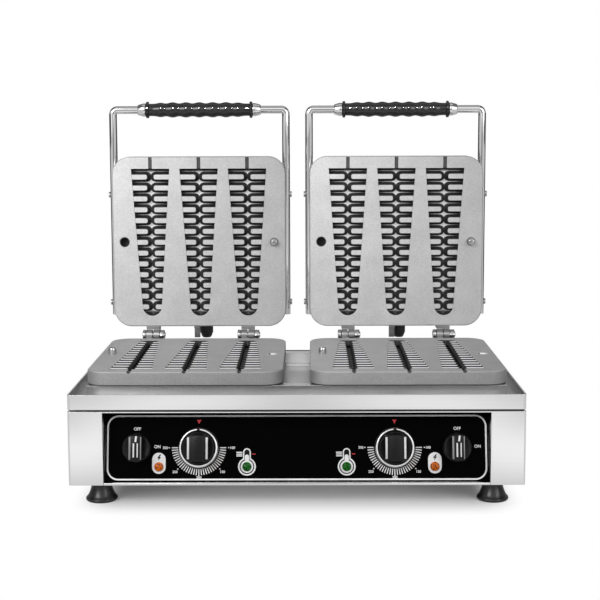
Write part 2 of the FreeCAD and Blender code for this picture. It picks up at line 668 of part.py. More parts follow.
# Heating element: a tube bent to and fro along the back of a plate
def make_element():
    depth = "-plate_thickness - element_gap - element_size / 2"
    pieces = []
    run = "element_front - element_rear"
    for step in (-3, -1, 1, 3):
        place = (f"{step} * element_bend", "-element_front", depth)
        pieces.append(rod("element_run", "element_size", run, *place, along_y))
    for step, end, turn in ((-2, "-element_front", 180), (0, "-element_rear", 0), (2, "-element_front", 180)):
        place = (f"{step} * element_bend", end, depth)
        half_turn = FreeCAD.Rotation(FreeCAD.Vector(0, 0, 1), turn)
        pieces.append(bend("element_bow", "element_bend", "element_size", 180, *place, half_turn))
    for step in (-3, 3):
        place = (f"{step} * element_bend", "-element_rear", depth)
        pieces.append(rod("element_tail", "element_tail_size", "element_tail", *place, along_y))
    return fused("element_form", pieces)


# Pan under a lower plate, and the deeper cover on the back of an upper plate
def make_pan():
    body = new_body("pan_form")
    rear = "-pan_margin"
    front = "pan_margin - plate_length"
    outside = box_loop("-pan_side", front, "pan_side", rear)
    pad(body, draw(body, "XY_Plane", [outside], lift="-plate_thickness"), "pan_depth", backwards=True)
    inside = box_loop("pan_wall - pan_side", f"{front} + pan_wall",
                      "pan_side - pan_wall", f"{rear} - pan_wall")
    pocket(body, draw(body, "XY_Plane", [inside], lift="-plate_thickness"), "pan_depth - pan_wall")
    return body


screw_places = []
for screw_x in ("-lid_screw_x", "lid_screw_x"):
    for screw_y in ("-plate_length / 2 - lid_screw_y", "-plate_length / 2 + lid_screw_y"):
        screw_places.append((screw_x, screw_y))
bolt_rows = ("-bail_bolt_low", "-bail_bolt_high")


def make_lid_cover():
    body = new_body("lid_cover_form")
    rear = "-lid_rear"
    front = "lid_front - plate_length"
    outside = box_loop("-cover_side", front, "cover_side", rear)
    pad(body, draw(body, "XY_Plane", [outside], lift="-plate_thickness"), "lid_depth", backwards=True)
    soften(body, upright, "lid_corner")
    soften(body, at_height("-plate_thickness - lid_depth"), "lid_round")
    hollow(body, at_height("-plate_thickness"), "lid_wall")
    holes = [(x, y, "lid_screw + 2 * screw_fit") for x, y in screw_places]
    base = "-plate_thickness - lid_depth"
    pocket(body, draw(body, "XY_Plane", circles=holes, lift=base), "lid_wall", backwards=True)
    sockets = [(y, "rod_z", "bail_bolt + 2 * screw_fit") for y in bolt_rows]
    pocket(body, draw(body, "YZ_Plane", circles=sockets, lift="cover_side"), "lid_wall")
    pocket(body, draw(body, "YZ_Plane", circles=sockets, lift="-cover_side"), "lid_wall", backwards=True)
    gland = [("-gland_offset", "-plate_thickness - gland_depth", "gland_spigot + 2 * gland_fit")]
    pocket(body, draw(body, "XZ_Plane", circles=gland, lift="lid_rear"), "lid_wall", backwards=True)
    return body


def make_lid_screw():
    crown = "(-lid_depth - lid_screw_head_height)"
    screw = turned("lid_screw_form", [
        ("0", "0"), ("lid_screw / 2", "0"), ("lid_screw / 2", "-lid_depth"),
        ("lid_screw_head / 2", "-lid_depth"), ("lid_screw_head / 2", crown), ("0", crown)])
    soften(screw, at_height(crown), "lid_screw_head_height * 0.8")
    return screw


# Bail: one bent rod with two arms beside the cover and a cross bar beyond the plate
def make_bail():
    bar_half = "(bail_spread - bail_elbow)"
    arm = "bail_reach + plate_length - bail_elbow - bail_tail"
    start = "bar_y + bail_elbow"
    pieces = [rod("bail_bar", "rod_size", f"2 * {bar_half}", f"-{bar_half}", "bar_y", "rod_z", along_x)]
    for sign, turn in (("-", 180), ("", 270)):
        quarter = FreeCAD.Rotation(FreeCAD.Vector(0, 0, 1), turn)
        pieces.append(rod("bail_arm", "rod_size", arm, f"{sign}bail_spread", start, "rod_z", along_y))
        pieces.append(bend("bail_corner", "bail_elbow", "rod_size", 90,
                           f"{sign}{bar_half}", start, "rod_z", quarter))
    bail = fused("bail_rod", pieces)
    across = "2 * bail_spread + 2 * rod_size"
    holes = []
    for y in bolt_rows:
        holes.append(rod("bail_hole", "bail_bolt + 2 * screw_fit", across,
                         "-bail_spread - rod_size", y, "rod_z", along_x))
    return cut("bail_form", bail, holes)


def make_bail_bolt():
    tip = "(-rod_size / 2 - bail_bolt_inside)"
    seat = "(rod_size / 2)"
    crown = f"({seat} + bail_bolt_head_height)"
    bolt = turned("bail_bolt_form", [
        ("0", tip), ("bail_bolt / 2", tip), ("bail_bolt / 2", seat),
        ("bail_bolt_head / 2", seat), ("bail_bolt_head / 2", crown), ("0", crown)])
    soften(bolt, at_height(crown), "bail_bolt_head_height * 0.8")
    return bolt


# Grip: a turned sleeve on the bar with finger waves in its middle and a lip at each end
def make_grip():
    half = sheet.grip_length / 2
    bore = sheet.rod_size / 2 + sheet.grip_fit
    lip = half - sheet.grip_end_width
    waist = sheet.grip_waist / 2
    end = sheet.grip_end / 2
    points = [(-lip, waist)]
    for step in range(-4, 5):
        hollow_here = sheet.grip_wave if step % 2 else 0
        points.append((step * sheet.grip_wave_pitch / 2, sheet.grip_body / 2 - hollow_here))
    points.append((lip, waist))
    curve = Part.BSplineCurve()
    curve.interpolate([FreeCAD.Vector(x, 0, r) for x, r in points])
    corners = [(lip, waist), (lip, end), (half, end), (half, bore),
               (-half, bore), (-half, end), (-lip, end), (-lip, waist)]
    straight = Part.makePolygon([FreeCAD.Vector(x, 0, r) for x, r in corners])
    outline = Part.Wire([curve.toShape()] + straight.Edges)
    sleeve = doc.addObject("Part::Feature", "grip_form")
    sleeve.Shape = Part.Face(outline).revolve(FreeCAD.Vector(), FreeCAD.Vector(1, 0, 0), 360)
    return sleeve


def make_collar():
    bore = "(rod_size / 2 + grip_fit)"
    return turned("collar_form", [
        (bore, "0"), ("collar_size / 2", "0"), ("collar_size / 2", "collar_length / 4"),
        ("collar_nose / 2", "collar_length"), (bore, "collar_length")])


# Hinge leaves on the plates' rear edges, drawn from the hinge axis with the lid stood open
def make_hinges():
    slit = "(ear_slit / 2)"
    wide = "(ear_slit / 2 + ear_thickness)"
    bore = "hinge_pin + 2 * pin_clearance"
    eye = [("0", "0", "2 * ear_radius")]
    hole = [("0", "0", bore)]
    edge = "-hinge_back"
    web = "(ear_flange - hinge_back)"
    top = "(-hinge_rise - ear_lift)"
    foot = "(-hinge_rise - ear_foot)"
    fixed = new_body("fixed_hinge_form")
    flange = box_loop(edge, foot, web, top)
    pad(fixed, draw(fixed, "YZ_Plane", [flange], lift=f"-{wide}"), f"2 * {wide}")
    ear = [(web, foot), ("ear_radius / 2", foot), ("ear_radius", "-heel_drop - shelf_thickness"),
           ("ear_radius", "0"), ("-ear_radius", "0"), ("-ear_radius", top), (web, top)]
    pad(fixed, draw(fixed, "YZ_Plane", [ear], lift=f"-{wide}"), "ear_thickness")
    pad(fixed, draw(fixed, "YZ_Plane", circles=eye, lift=f"-{wide}"), "ear_thickness")
    shelf_top = "(-heel_drop - heel_gap)"
    shelf = box_loop(web, f"{shelf_top} - shelf_thickness", "heel_reach", shelf_top)
    pad(fixed, draw(fixed, "YZ_Plane", [shelf], lift=f"-{wide}"), f"2 * {wide}")
    pocket(fixed, draw(fixed, "YZ_Plane", circles=hole, lift=f"-{wide}"), "ear_thickness", backwards=True)
    moving = new_body("lid_hinge_form")
    face = "(part_gap - hinge_rise)"
    near = f"({face} + ear_lift)"
    far = f"({face} + plate_thickness - ear_lift)"
    under = "(hinge_back - ear_flange)"
    leaf = box_loop(near, under, far, "hinge_back")
    pad(moving, draw(moving, "YZ_Plane", [leaf], lift=f"-{wide}"), f"2 * {wide}")
    arm = [("0", "-heel_drop"), ("heel_reach", "-heel_drop"), ("heel_reach", "0"),
           (far, under), (near, under), (near, "0"), ("0", "0")]
    pad(moving, draw(moving, "YZ_Plane", [arm], lift=slit), "ear_thickness")
    pad(moving, draw(moving, "YZ_Plane", circles=eye, lift=slit), "ear_thickness")
    pocket(moving, draw(moving, "YZ_Plane", circles=hole, lift=slit), "ear_thickness", backwards=True)
    end = f"({wide} + pin_washer)"
    head = f"(-{end} - pin_head_height)"
    tip = f"({end} + pin_nut_height + pin_round)"
    pin = turned("hinge_pin_form", [
        ("0", head), ("pin_head / 2", head), ("pin_head / 2", f"-{end}"),
        ("hinge_pin / 2", f"-{end}"), ("hinge_pin / 2", tip), ("0", tip)])
    soften(pin, at_height(head), "pin_round")
    nut = hex_nut("hinge_nut_form", "pin_nut", bore, end, "pin_nut_height")
    return fixed, moving, pin, nut


# Cable gland on the hinge side of a lid cover, with the bracket beside it
def make_gland(label):
    nut = "(gland_length - gland_nut_height)"
    return turned(label, [
        ("gland_bore / 2", "-gland_spigot_length"), ("gland_spigot / 2", "-gland_spigot_length"),
        ("gland_spigot / 2", "0"), ("gland_flange / 2", "0"),
        ("gland_flange / 2", "gland_flange_height"),
        ("gland_neck / 2", "gland_flange_height"), ("gland_neck / 2", nut), ("gland_nut / 2", nut),
        ("gland_nut / 2", "gland_length - gland_nut_height / 4"), ("gland_neck / 2", "gland_length"),
        ("gland_bore / 2", "gland_length")])


def make_bracket():
    body = new_body("bracket_form")
    front = "-bracket_depth"
    back = "-bracket_depth - bracket_wall"
    shoe = "bracket_foot / 2 - bracket_depth"
    profile = [("0", shoe), ("bracket_wall", shoe), ("bracket_wall", front),
               ("bracket_length", front), ("bracket_length", back), ("0", back)]
    pad(body, draw(body, "YZ_Plane", [profile], lift="bracket_side"), "bracket_width")
    return body


# Terminal block on the bottom cover, and the mains cable gland in the back wall
def make_wiring():
    block = new_body("terminal_block")
    pad(block, draw(block, "XY_Plane", [centred("block_length", "block_width")]), "block_height")
    first = [("(1 - block_ways) * block_pitch / 2", "block_height / 2", "block_bore")]
    way = pocket(block, draw(block, "XZ_Plane", circles=first, lift="block_width / 2"), "block_width")
    row_of(block, way, "X_Axis", "block_ways", "block_pitch")
    put(block, y="tray_back - block_back - block_width / 2", z="foot_height + sheet_wall")
    node(block, "terminal_block")
    gland = make_gland("mains_gland_form")
    place = ("0", "tray_back", "foot_height + body_height / 2")
    node(copy_of(gland, "mains_gland", *place, along_y), "mains_gland")


# Both plate pairs, each lid standing open at a right angle
def on_lid(side, source, label, across="0", along="0", off="0", turn=unturned):
    """Place a copy by its distance across the upper plate, along from its rear edge and off its face."""
    return copy_of(source, label, f"{lid_places[side]} - ({across})",
                   f"hinge_y - hinge_rise + part_gap - ({off})",
                   f"hinge_z + hinge_back - ({along})", stood_up * turn)


def make_plate_pairs():
    plate = make_plate()
    element = make_element()
    guide = make_guide_pin()
    pan = make_pan()
    lower_guides = []
    for side, x in lid_places.items():
        lower = (x, "plate_rear", "plate_face")
        node(copy_of(plate, "lower_plate", *lower), f"{side}_lower_plate")
        node(copy_of(element, "lower_element", *lower), f"{side}_lower_element")
        node(copy_of(pan, "lower_pan", *lower), f"{side}_lower_pan")
        middle = "plate_rear - plate_length / 2"
        lower_guides.append(copy_of(guide, "lower_guide", f"{x} - guide_spread", middle, "plate_face"))
        node(on_lid(side, plate, "upper_plate"), f"{side}_upper_plate")
        node(on_lid(side, element, "upper_element"), f"{side}_upper_element")
        pin = on_lid(side, guide, "upper_guide", "-guide_spread", "-plate_length / 2")
        node(pin, f"{side}_upper_guide_pin")
    group("lower_guide_pins", lower_guides)


# Cover, bail handle, grip and cable gland of both lids
def make_lid_fittings():
    cover = make_lid_cover()
    screw = make_lid_screw()
    bail = make_bail()
    bolt = make_bail_bolt()
    grip = make_grip()
    collar = make_collar()
    gland = make_gland("lid_gland_form")
    bracket = make_bracket()
    for side in lid_places:
        node(on_lid(side, cover, "lid_cover"), f"{side}_lid_cover")
        node(on_lid(side, bail, "bail"), f"{side}_bail")
        node(on_lid(side, grip, "grip", "0", "bar_y", "rod_z"), f"{side}_grip")
        collars = []
        bolts = []
        for sign, turn in (("", along_x), ("-", along_minus_x)):
            collars.append(on_lid(side, collar, "collar", f"{sign}grip_length / 2", "bar_y", "rod_z", turn))
            for y in bolt_rows:
                bolts.append(on_lid(side, bolt, "bolt", f"{sign}bail_spread", y, "rod_z", turn))
        group(f"{side}_grip_collars", collars)
        group(f"{side}_bail_bolts", bolts)
        screws = []
        for across, along in screw_places:
            screws.append(on_lid(side, screw, "screw", across, along, "-plate_thickness"))
        group(f"{side}_cover_screws", screws)
        place = ("-gland_offset", "-lid_rear", "-plate_thickness - gland_depth")
        node(on_lid(side, gland, "gland", *place, along_y), f"{side}_lid_gland")
        node(on_lid(side, bracket, "bracket"), f"{side}_gland_bracket")


# A pair of hinges behind each lower plate, with their pins and nuts
def make_hinge_sets():
    fixed, moving, pin, nut = make_hinges()
    pins = []
    nuts = []
    for side, x in lid_places.items():
        fixed_leaves = []
        lid_leaves = []
        for sign in ("-", "+"):
            place = (f"{x} {sign} hinge_spread", "hinge_y", "hinge_z")
            fixed_leaves.append(copy_of(fixed, "fixed_hinge", *place))
            lid_leaves.append(copy_of(moving, "lid_hinge", *place))
            pins.append(copy_of(pin, "hinge_pin", *place, along_x))
            nuts.append(copy_of(nut, "hinge_nut", *place, along_x))
        group(f"{side}_fixed_hinges", fixed_leaves)
        group(f"{side}_lid_hinges", lid_leaves)
    group("hinge_pins", pins)
    group("hinge_nuts", nuts)


make_body_shell()
make_bottom_cover()
make_feet()
make_tray()
make_seal()
make_rails()
make_panel()
make_controls()
make_lamps()
make_wiring()
make_plate_pairs()
make_lid_fittings()
make_hinge_sets()
doc.recompute()

for thing in doc.Objects:
    if "Invalid" in thing.State or "Error" in thing.State:
        raise RuntimeError(f"{thing.Label} failed: {thing.State}")
shapes = {label: Part.getShape(thing) for label, thing in nodes.items()}
for label, shape in shapes.items():
    if shape.isNull() or not shape.isValid() or not shape.Solids:
        raise RuntimeError(f"{label} has no sound solid")

os.makedirs("parts", exist_ok=True)
for label, shape in shapes.items():
    shape.exportStep(f"parts/{label}.step")
print(len(shapes), "parts written")
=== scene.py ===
import json
import math

import bmesh
import bpy
from mathutils import Matrix, Vector


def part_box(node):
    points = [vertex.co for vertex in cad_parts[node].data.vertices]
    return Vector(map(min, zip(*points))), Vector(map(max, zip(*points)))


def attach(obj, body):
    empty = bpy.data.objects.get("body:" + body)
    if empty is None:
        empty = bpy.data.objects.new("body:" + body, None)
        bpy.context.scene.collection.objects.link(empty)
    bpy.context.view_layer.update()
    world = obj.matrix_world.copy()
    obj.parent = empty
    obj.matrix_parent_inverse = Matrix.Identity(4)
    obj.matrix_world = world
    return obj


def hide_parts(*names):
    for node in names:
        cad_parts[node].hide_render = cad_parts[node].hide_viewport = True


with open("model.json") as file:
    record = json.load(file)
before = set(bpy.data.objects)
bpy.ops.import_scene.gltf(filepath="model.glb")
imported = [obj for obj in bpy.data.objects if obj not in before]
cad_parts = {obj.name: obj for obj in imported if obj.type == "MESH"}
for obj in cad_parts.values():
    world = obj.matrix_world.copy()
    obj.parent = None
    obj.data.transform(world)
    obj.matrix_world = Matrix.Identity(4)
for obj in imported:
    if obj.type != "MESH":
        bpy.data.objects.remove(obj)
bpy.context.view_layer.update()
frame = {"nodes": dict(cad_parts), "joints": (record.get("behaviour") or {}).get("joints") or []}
scene = bpy.context.scene
scene.view_settings.view_transform = "Standard"
mm = 0.001
sides = {"left": -1, "right": 1}
hinges = {joint["child"]: Vector(joint["pos_m"]) for joint in frame["joints"]}
lidCentre = hinges["right_lid"].x
plateFace = {side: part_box(f"{side}_upper_plate")[0].y for side in sides}
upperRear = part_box("left_upper_plate")[0].z
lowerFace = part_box("left_lower_plate")[1].z
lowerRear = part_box("left_lower_plate")[1].y
print("frame loaded with", len(frame["nodes"]), "nodes")


# Shader maths: a socket that takes part in Python sums
class Wire:
    def __init__(self, finish, socket):
        self.finish = finish
        self.socket = socket

    def sum(self, operation, first, second):
        return self.finish.node("ShaderNodeMath", {"operation": operation}, {0: first, 1: second})

    def __add__(self, other):
        return self.sum("ADD", self, other)

    def __radd__(self, other):
        return self.sum("ADD", other, self)

    def __sub__(self, other):
        return self.sum("SUBTRACT", self, other)

    def __rsub__(self, other):
        return self.sum("SUBTRACT", other, self)

    def __mul__(self, other):
        return self.sum("MULTIPLY", self, other)

    def __rmul__(self, other):
        return self.sum("MULTIPLY", other, self)

    def by(self, operation, other=0.0):
        return self.sum(operation, self, other)

    def between(self, low, high):
        smooth = {"interpolation_type": "SMOOTHSTEP"}
        limits = {"Value": self, "From Min": low, "From Max": high}
        return self.finish.node("ShaderNodeMapRange", smooth, limits)

    def before(self, low, high):
        return 1 - self.between(low, high)


# A material or the world, with one method for every kind of node
class Finish:
    def __init__(self, tree):
        self.tree = tree

    def node(self, kind, settings=None, inputs=None, output=0):
        made = self.tree.nodes.new(kind)
        for name, value in (settings or {}).items():
            setattr(made, name, value)
        for key, value in (inputs or {}).items():
            socket = self.socketOf(made.inputs, key)
            if isinstance(value, Wire):
                self.tree.links.new(value.socket, socket)
            else:
                socket.default_value = value
        return Wire(self, self.socketOf(made.outputs, output))

    def socketOf(self, sockets, key):
        if isinstance(key, int):
            return sockets[key]
        return next(socket for socket in sockets if key in (socket.identifier, socket.name))

    def blend(self, factor, first, second):
        colours = {"Factor_Float": factor, "A_Color": first, "B_Color": second}
        return self.node("ShaderNodeMix", {"data_type": "RGBA"}, colours, "Result_Color")

    def place(self, output="Object"):
        return self.node("ShaderNodeTexCoord", output=output)

    def axes(self, vector):
        return [self.node("ShaderNodeSeparateXYZ", inputs={0: vector}, output=axis) for axis in range(3)]

    def stretched(self, scale):
        return self.node("ShaderNodeMapping", inputs={"Vector": self.place(), "Scale": scale})

    def noise(self, vector, scale, detail=2.0, roughness=0.5):
        inputs = {"Vector": vector, "Scale": scale, "Detail": detail, "Roughness": roughness}
        return self.node("ShaderNodeTexNoise", inputs=inputs)

    def bump(self, height, strength, depth):
        inputs = {"Height": height, "Strength": strength, "Distance": depth * mm}
        return self.node("ShaderNodeBump", inputs=inputs)


def grey(tone):
    return (tone, tone, tone, 1)


def mixed(first, second, share):
    return first * share + second * (1 - share)


def newFinish(name, **constants):
    material = bpy.data.materials.new(name)
    material.use_nodes = True
    finish = Finish(material.node_tree)
    finish.material = material
    finish.shader = material.node_tree.nodes["Principled BSDF"]
    for socket, value in constants.items():
        finish.shader.inputs[socket.replace("_", " ")].default_value = value
    return finish


def feed(finish, **wires):
    for socket, wire in wires.items():
        finish.tree.links.new(wire.socket, finish.shader.inputs[socket.replace("_", " ")])
    return finish.material


midBand = (0.3, 0.7)  # where most of a noise lies

# Brushed sheet: the grain runs level on the walls and crosswise on flat tops
sheetLook = {
    "top": (0.4, 0.6), "wallGrain": (5, 5, 2600), "topGrain": (5, 2600, 5), "grainDetail": 3.0,
    "cloud": (9.0, 3.0), "grainShare": 0.6, "contrast": 0.03, "grainRough": 0.06, "cloudRough": 0.05,
    "bump": (0.02, 0.03), "rim": (-0.7, -0.5), "floorTones": (0.84, 0.92), "floorRough": 0.24,
    "rearWallShade": (-14, -8), "rearShadeTone": 0.3,
}


def sheetFinish(name, tone, rough, trayBox=None):
    look = sheetLook
    finish = newFinish(name, Metallic=1.0)
    up = finish.axes(finish.place("Normal"))[2]
    onTop = (up * up).between(*look["top"])
    walls = finish.noise(finish.stretched(look["wallGrain"]), 1.0, look["grainDetail"])
    tops = finish.noise(finish.stretched(look["topGrain"]), 1.0, look["grainDetail"])
    grain = walls + (tops - walls) * onTop
    cloud = finish.noise(finish.place(), *look["cloud"])
    mottle = mixed(grain, cloud, look["grainShare"]).between(*midBand)
    shade = finish.blend(mottle, grey(tone * (1 - look["contrast"])), grey(tone * (1 + look["contrast"])))
    roughness = rough - look["cloudRough"] + grain * look["grainRough"] + cloud * look["cloudRough"]
    if trayBox:  # a dull floor, and the rear wall inside painted darker as painted shade behind the plates
        low, high = trayBox
        x, y = finish.axes(finish.place())[:2]
        outside = (low.x - x).by("MAXIMUM", x - high.x).by("MAXIMUM", low.y - y).by("MAXIMUM", y - high.y)
        inTray = (outside * (1 / mm)).before(*look["rim"])
        dull = inTray * onTop
        floorShade = finish.blend(cloud.between(*midBand), *[grey(pale) for pale in look["floorTones"]])
        shade = finish.blend(dull, shade, floorShade)
        roughness = roughness + dull * look["floorRough"]
        rearWallShade = ((y - high.y) * (1 / mm)).between(*look["rearWallShade"]) * inTray
        shade = finish.blend(rearWallShade, shade, grey(look["rearShadeTone"]))
    return feed(finish, Base_Color=shade, Roughness=roughness, Normal=finish.bump(grain, *look["bump"]))


# Blasted casting: painted shade round the foot of every rib and down the walls of the moulds, painted light
# on floors and rib tops
mouldSize = {
    "pitch": 62.5, "front": -205.5, "wide": 24.75, "narrow": 12.5, "tip": -26.5, "firstRib": -194.9,
    "ribPitch": 14.1, "ribHalf": 3.3, "ribStart": 4.1, "ribCorner": 2.8, "ribStretch": 1.32,
    "holeAcross": 97.0, "holeAlong": -110.5, "plateHalf": 112.0, "plateLong": 221.0,
}
paintedSpan = {  # millimetres over which each painted shade or painted light comes or goes
    "face": (0.5, 0.9), "floor": (5.0, 9.0), "foot": (14.8, 15.6),  # down from the plate's face
    "front": (-206.7, -205.9), "rear": (-12.0, -11.0), "frontEnd": (-204.0, -200.5),
    "rearEnd": (-20.5, -17.5), "grooveEnd": (-206.1, -205.5),
    "plateEdge": (-220.7, -220.4),  # these six from its rear edge, minus is forward
    "sides": (94.0, 95.0), "groove": (2.5, 2.7),  # aside from its middle, and from a mould's
    "ringIn": (-0.5, -0.1), "ringOut": (4.1, 4.9), "wallFoot": (0.0, 0.3),
    "hazeFoot": (0.5, 2.0),  # these four off a rib
    "wall": (0.2, 1.2), "haze": (1.0, 12.5), "hole": (6.8, 7.2), "pin": (5.1, 5.9),  # off a wall or hole
}
paintedShadeDark = {"ends": 0.9, "haze": 0.75, "groove": 0.85, "pin": 0.8, "foot": 0.8}
castLook = {
    "metal": 0.75, "paintedShadeMetal": 0.6, "specular": 0.12, "rough": 0.5, "speckleRough": 0.14, "patchRough": 0.06,
    "speckle": (950.0, 2.0, 0.7), "patches": (38.0, 4.0, 0.6), "speckleShare": 0.7, "mottle": (0.28, 0.74),
    "contrast": 0.3, "darkest": 0.83, "brightest": 0.95, "paintedShade": (0.007, 0.0066, 0.006, 1), "paintedShadeHold": 0.9,
    "bump": (0.22, 0.12), "top": (0.3, 0.7), "sideShadeTone": 0.7,
    "paintedFalloff": 0.05, "paintedFalloffUp": 0.095, "paintedFalloffAside": 0.08, "paintedFalloffCorner": 0.145,
}
upperCasting = {
    "tone": 0.65, "upright": True, "face": plateFace["left"], "rear": upperRear,
    "ribPaintedLight": 0.05, "ribMatt": 0.009,
    "floorPaintedLight": 0.5, "holePaintedShade": 0.97, "holePaintedLight": 0.0, "paintedFalloff": 1.0,
}
# The lower plates are the same iron as the upper ones, painted darker as painted shade
lowerCasting = {
    "tone": 0.565, "upright": False, "face": lowerFace, "rear": lowerRear, "ribPaintedLight": 2.8, "ribMatt": 0.5,
    "floorPaintedLight": -3.5, "holePaintedShade": 0.0, "holePaintedLight": 2.0, "paintedFalloff": 0.4,
}


def ribGap(along, aside, size):
    step = (along - size["firstRib"]) * (1 / size["ribPitch"])
    beyond = (step.by("PINGPONG", 0.5) * size["ribPitch"] - size["ribHalf"]) * size["ribStretch"]
    beyond = (beyond + size["ribCorner"]).by("MAXIMUM")
    inner = (size["ribStart"] + size["ribCorner"] - aside).by("MAXIMUM")
    return (beyond * beyond + inner * inner).by("SQRT") - size["ribCorner"]


# Painted shade in a mould: a dark ring round the foot of each rib, dark walls and ends, and a darker haze
# towards the walls
def mouldPaintedShade(along, aside, size, span):
    slope = (size["wide"] - size["narrow"]) / (size["front"] - size["tip"])
    toWall = (along - size["tip"]) * slope + size["narrow"] - aside
    fromRib = ribGap(along, aside, size)
    ring = fromRib.between(*span["ringIn"]) * fromRib.before(*span["ringOut"])
    ends = along.before(*span["frontEnd"]) + along.between(*span["rearEnd"])
    walls = toWall.before(*span["wall"]) * fromRib.between(*span["wallFoot"]) + ends * paintedShadeDark["ends"]
    haze = toWall.before(*span["haze"]) * fromRib.between(*span["hazeFoot"]) * paintedShadeDark["haze"]
    return ring.by("MAXIMUM", walls).by("MAXIMUM", haze)


def castFinish(name, cast):
    size = mouldSize
    span = paintedSpan
    look = castLook
    finish = newFinish(name, Metallic=look["metal"], Specular_IOR_Level=look["specular"])
    x, y, z = finish.axes(finish.place())
    across = (x.by("ABSOLUTE") - lidCentre) * (1 / mm)
    depth = ((y - cast["face"]) if cast["upright"] else (cast["face"] - z)) * (1 / mm)
    along = ((cast["rear"] - z) if cast["upright"] else (y - cast["rear"])) * (1 / mm)
    aside = (across * (1 / size["pitch"])).by("PINGPONG", 0.5) * size["pitch"]
    below = depth.between(*span["face"])
    inside = along.between(*span["front"]) * across.by("ABSOLUTE").before(*span["sides"])
    inside = inside * along.before(*span["rear"])
    # The slot across the top of each mould is painted dark: painted shade
    groove = along.before(*span["grooveEnd"]) * along.between(*span["plateEdge"])
    groove = groove * aside.before(*span["groove"]) * paintedShadeDark["groove"]
    holeX = across.by("ABSOLUTE") - size["holeAcross"]
    holeY = along - size["holeAlong"]
    fromHole = (holeX * holeX + holeY * holeY).by("SQRT")
    # The upper plates' holes are painted dark as painted shade, and a dark rim round each pin is a painted
    # contact shadow
    hole = fromHole.before(*span["hole"])
    pinShadow = fromHole.before(*span["pin"]) * (1 - below) * (cast["holePaintedShade"] * paintedShadeDark["pin"])
    # All the mould's painted shade, kept below the plate's face
    paintedShade = (mouldPaintedShade(along, aside, size, span) * inside).by("MAXIMUM", groove)
    paintedShade = paintedShade.by("MAXIMUM", hole * cast["holePaintedShade"]) * below
    paintedShade = paintedShade.by("MAXIMUM", pinShadow).by("MINIMUM", 1.0)
    speckle = finish.noise(finish.place(), *look["speckle"])
    patches = finish.noise(finish.place(), *look["patches"])
    # Painted light and shade inside the moulds: rib tops and floors painted paler as painted highlight, the
    # lower plates' deep floors painted darker as painted shade, and their holes painted light as a painted
    # reflection
    shine = inside * below * (cast["ribPaintedLight"] + depth.between(*span["floor"]) * cast["floorPaintedLight"]) + 1.0
    shine = shine + hole * below * cast["holePaintedLight"]
    matt = inside * below * (1 - paintedShade) * cast["ribMatt"]
    # Painted falloff: each plate is painted lighter towards the end away from its hinge and darker towards
    # its right side, painted shade from light falling from the left
    sideways = (x - x.by("SIGN") * lidCentre) * (1 / (size["plateHalf"] * mm))
    upward = along * (-1 / size["plateLong"])
    paintedFalloffRamp = look["paintedFalloff"] - upward * look["paintedFalloffUp"]
    paintedFalloffRamp = paintedFalloffRamp + sideways * (look["paintedFalloffAside"] + upward * look["paintedFalloffCorner"])
    tint = 1.0 - cast["paintedFalloff"] * paintedFalloffRamp
    if not cast["upright"]:  # sides painted darker than the top as painted shade, and a dark line painted where the plate meets its pan, a painted contact shadow
        up = finish.axes(finish.place("Normal"))[2]
        tint = tint * (up.between(*look["top"]) * (1 - look["sideShadeTone"]) + look["sideShadeTone"])
        tint = tint * (1 - depth.between(*span["foot"]) * paintedShadeDark["foot"])
    mottle = mixed(speckle, patches, look["speckleShare"]).between(*look["mottle"])
    pale = mottle * (cast["tone"] * look["contrast"]) + cast["tone"] * look["darkest"]
    pale = (pale * shine * tint).by("MINIMUM", look["brightest"])
    body = finish.node("ShaderNodeCombineColor", inputs={0: pale, 1: pale, 2: pale})
    # Painted shade, broken a little by the patches
    cover = paintedShade * (look["paintedShadeHold"] + patches * (1 - look["paintedShadeHold"]))
    return feed(
        finish, Base_Color=finish.blend(cover, body, look["paintedShade"]),
        Roughness=look["rough"] + speckle * look["speckleRough"] + patches * look["patchRough"],
        Metallic=look["metal"] - paintedShade * look["paintedShadeMetal"] - matt, Normal=finish.bump(speckle, *look["bump"]))


# Polished round bar, with faint drawing marks
chromeLook = {
    "haze": (60.0, 3.0), "marks": (700, 700, 30), "markDetail": 2.0, "dim": 0.95, "hazeRough": 0.05,
    "markRough": 0.04,
}


def chromeFinish(name, tone, rough):
    look = chromeLook
    finish = newFinish(name, Metallic=1.0)
    haze = finish.noise(finish.place(), *look["haze"])
    marks = finish.noise(finish.stretched(look["marks"]), 1.0, look["markDetail"])
    shade = finish.blend(haze.between(*midBand), grey(tone * look["dim"]), grey(tone))
    roughness = rough + haze * look["hazeRough"] + marks * look["markRough"]
    return feed(finish, Base_Color=shade, Roughness=roughness)


# Moulded plastics, rubbers and paints: a base tone with cloudy wear and a fine grain
mouldedLook = {
    "cloud": (45.0, 4.0, 0.6), "grain": (2.0, 0.6), "cloudShare": 0.6, "dark": 0.8, "pale": 1.15, "wear": 0.1,
    "grainDepth": 0.05,
}


def mouldedFinish(name, colour, rough, grainScale, grain, shine=0.5):
    look = mouldedLook
    finish = newFinish(name, Specular_IOR_Level=shine)
    cloud = finish.noise(finish.place(), *look["cloud"])
    pimples = finish.noise(finish.place(), grainScale, *look["grain"])
    dark = tuple(part * look["dark"] for part in colour) + (1,)
    pale = tuple(part * look["pale"] for part in colour) + (1,)
    shade = finish.blend(mixed(cloud, pimples, look["cloudShare"]).between(*midBand), dark, pale)
    roughness = rough - look["wear"] / 2 + cloud * look["wear"]
    relief = finish.bump(pimples, grain, look["grainDepth"])
    return feed(finish, Base_Color=shade, Roughness=roughness, Normal=relief)


# Lamp lens: cut facets, each painted darker in its middle and lighter towards its edges as painted glints
lensLook = {"rough": 0.14, "specular": 0.2, "facets": 420.0, "edge": (0.2, 0.62), "bump": (0.5, 0.6)}


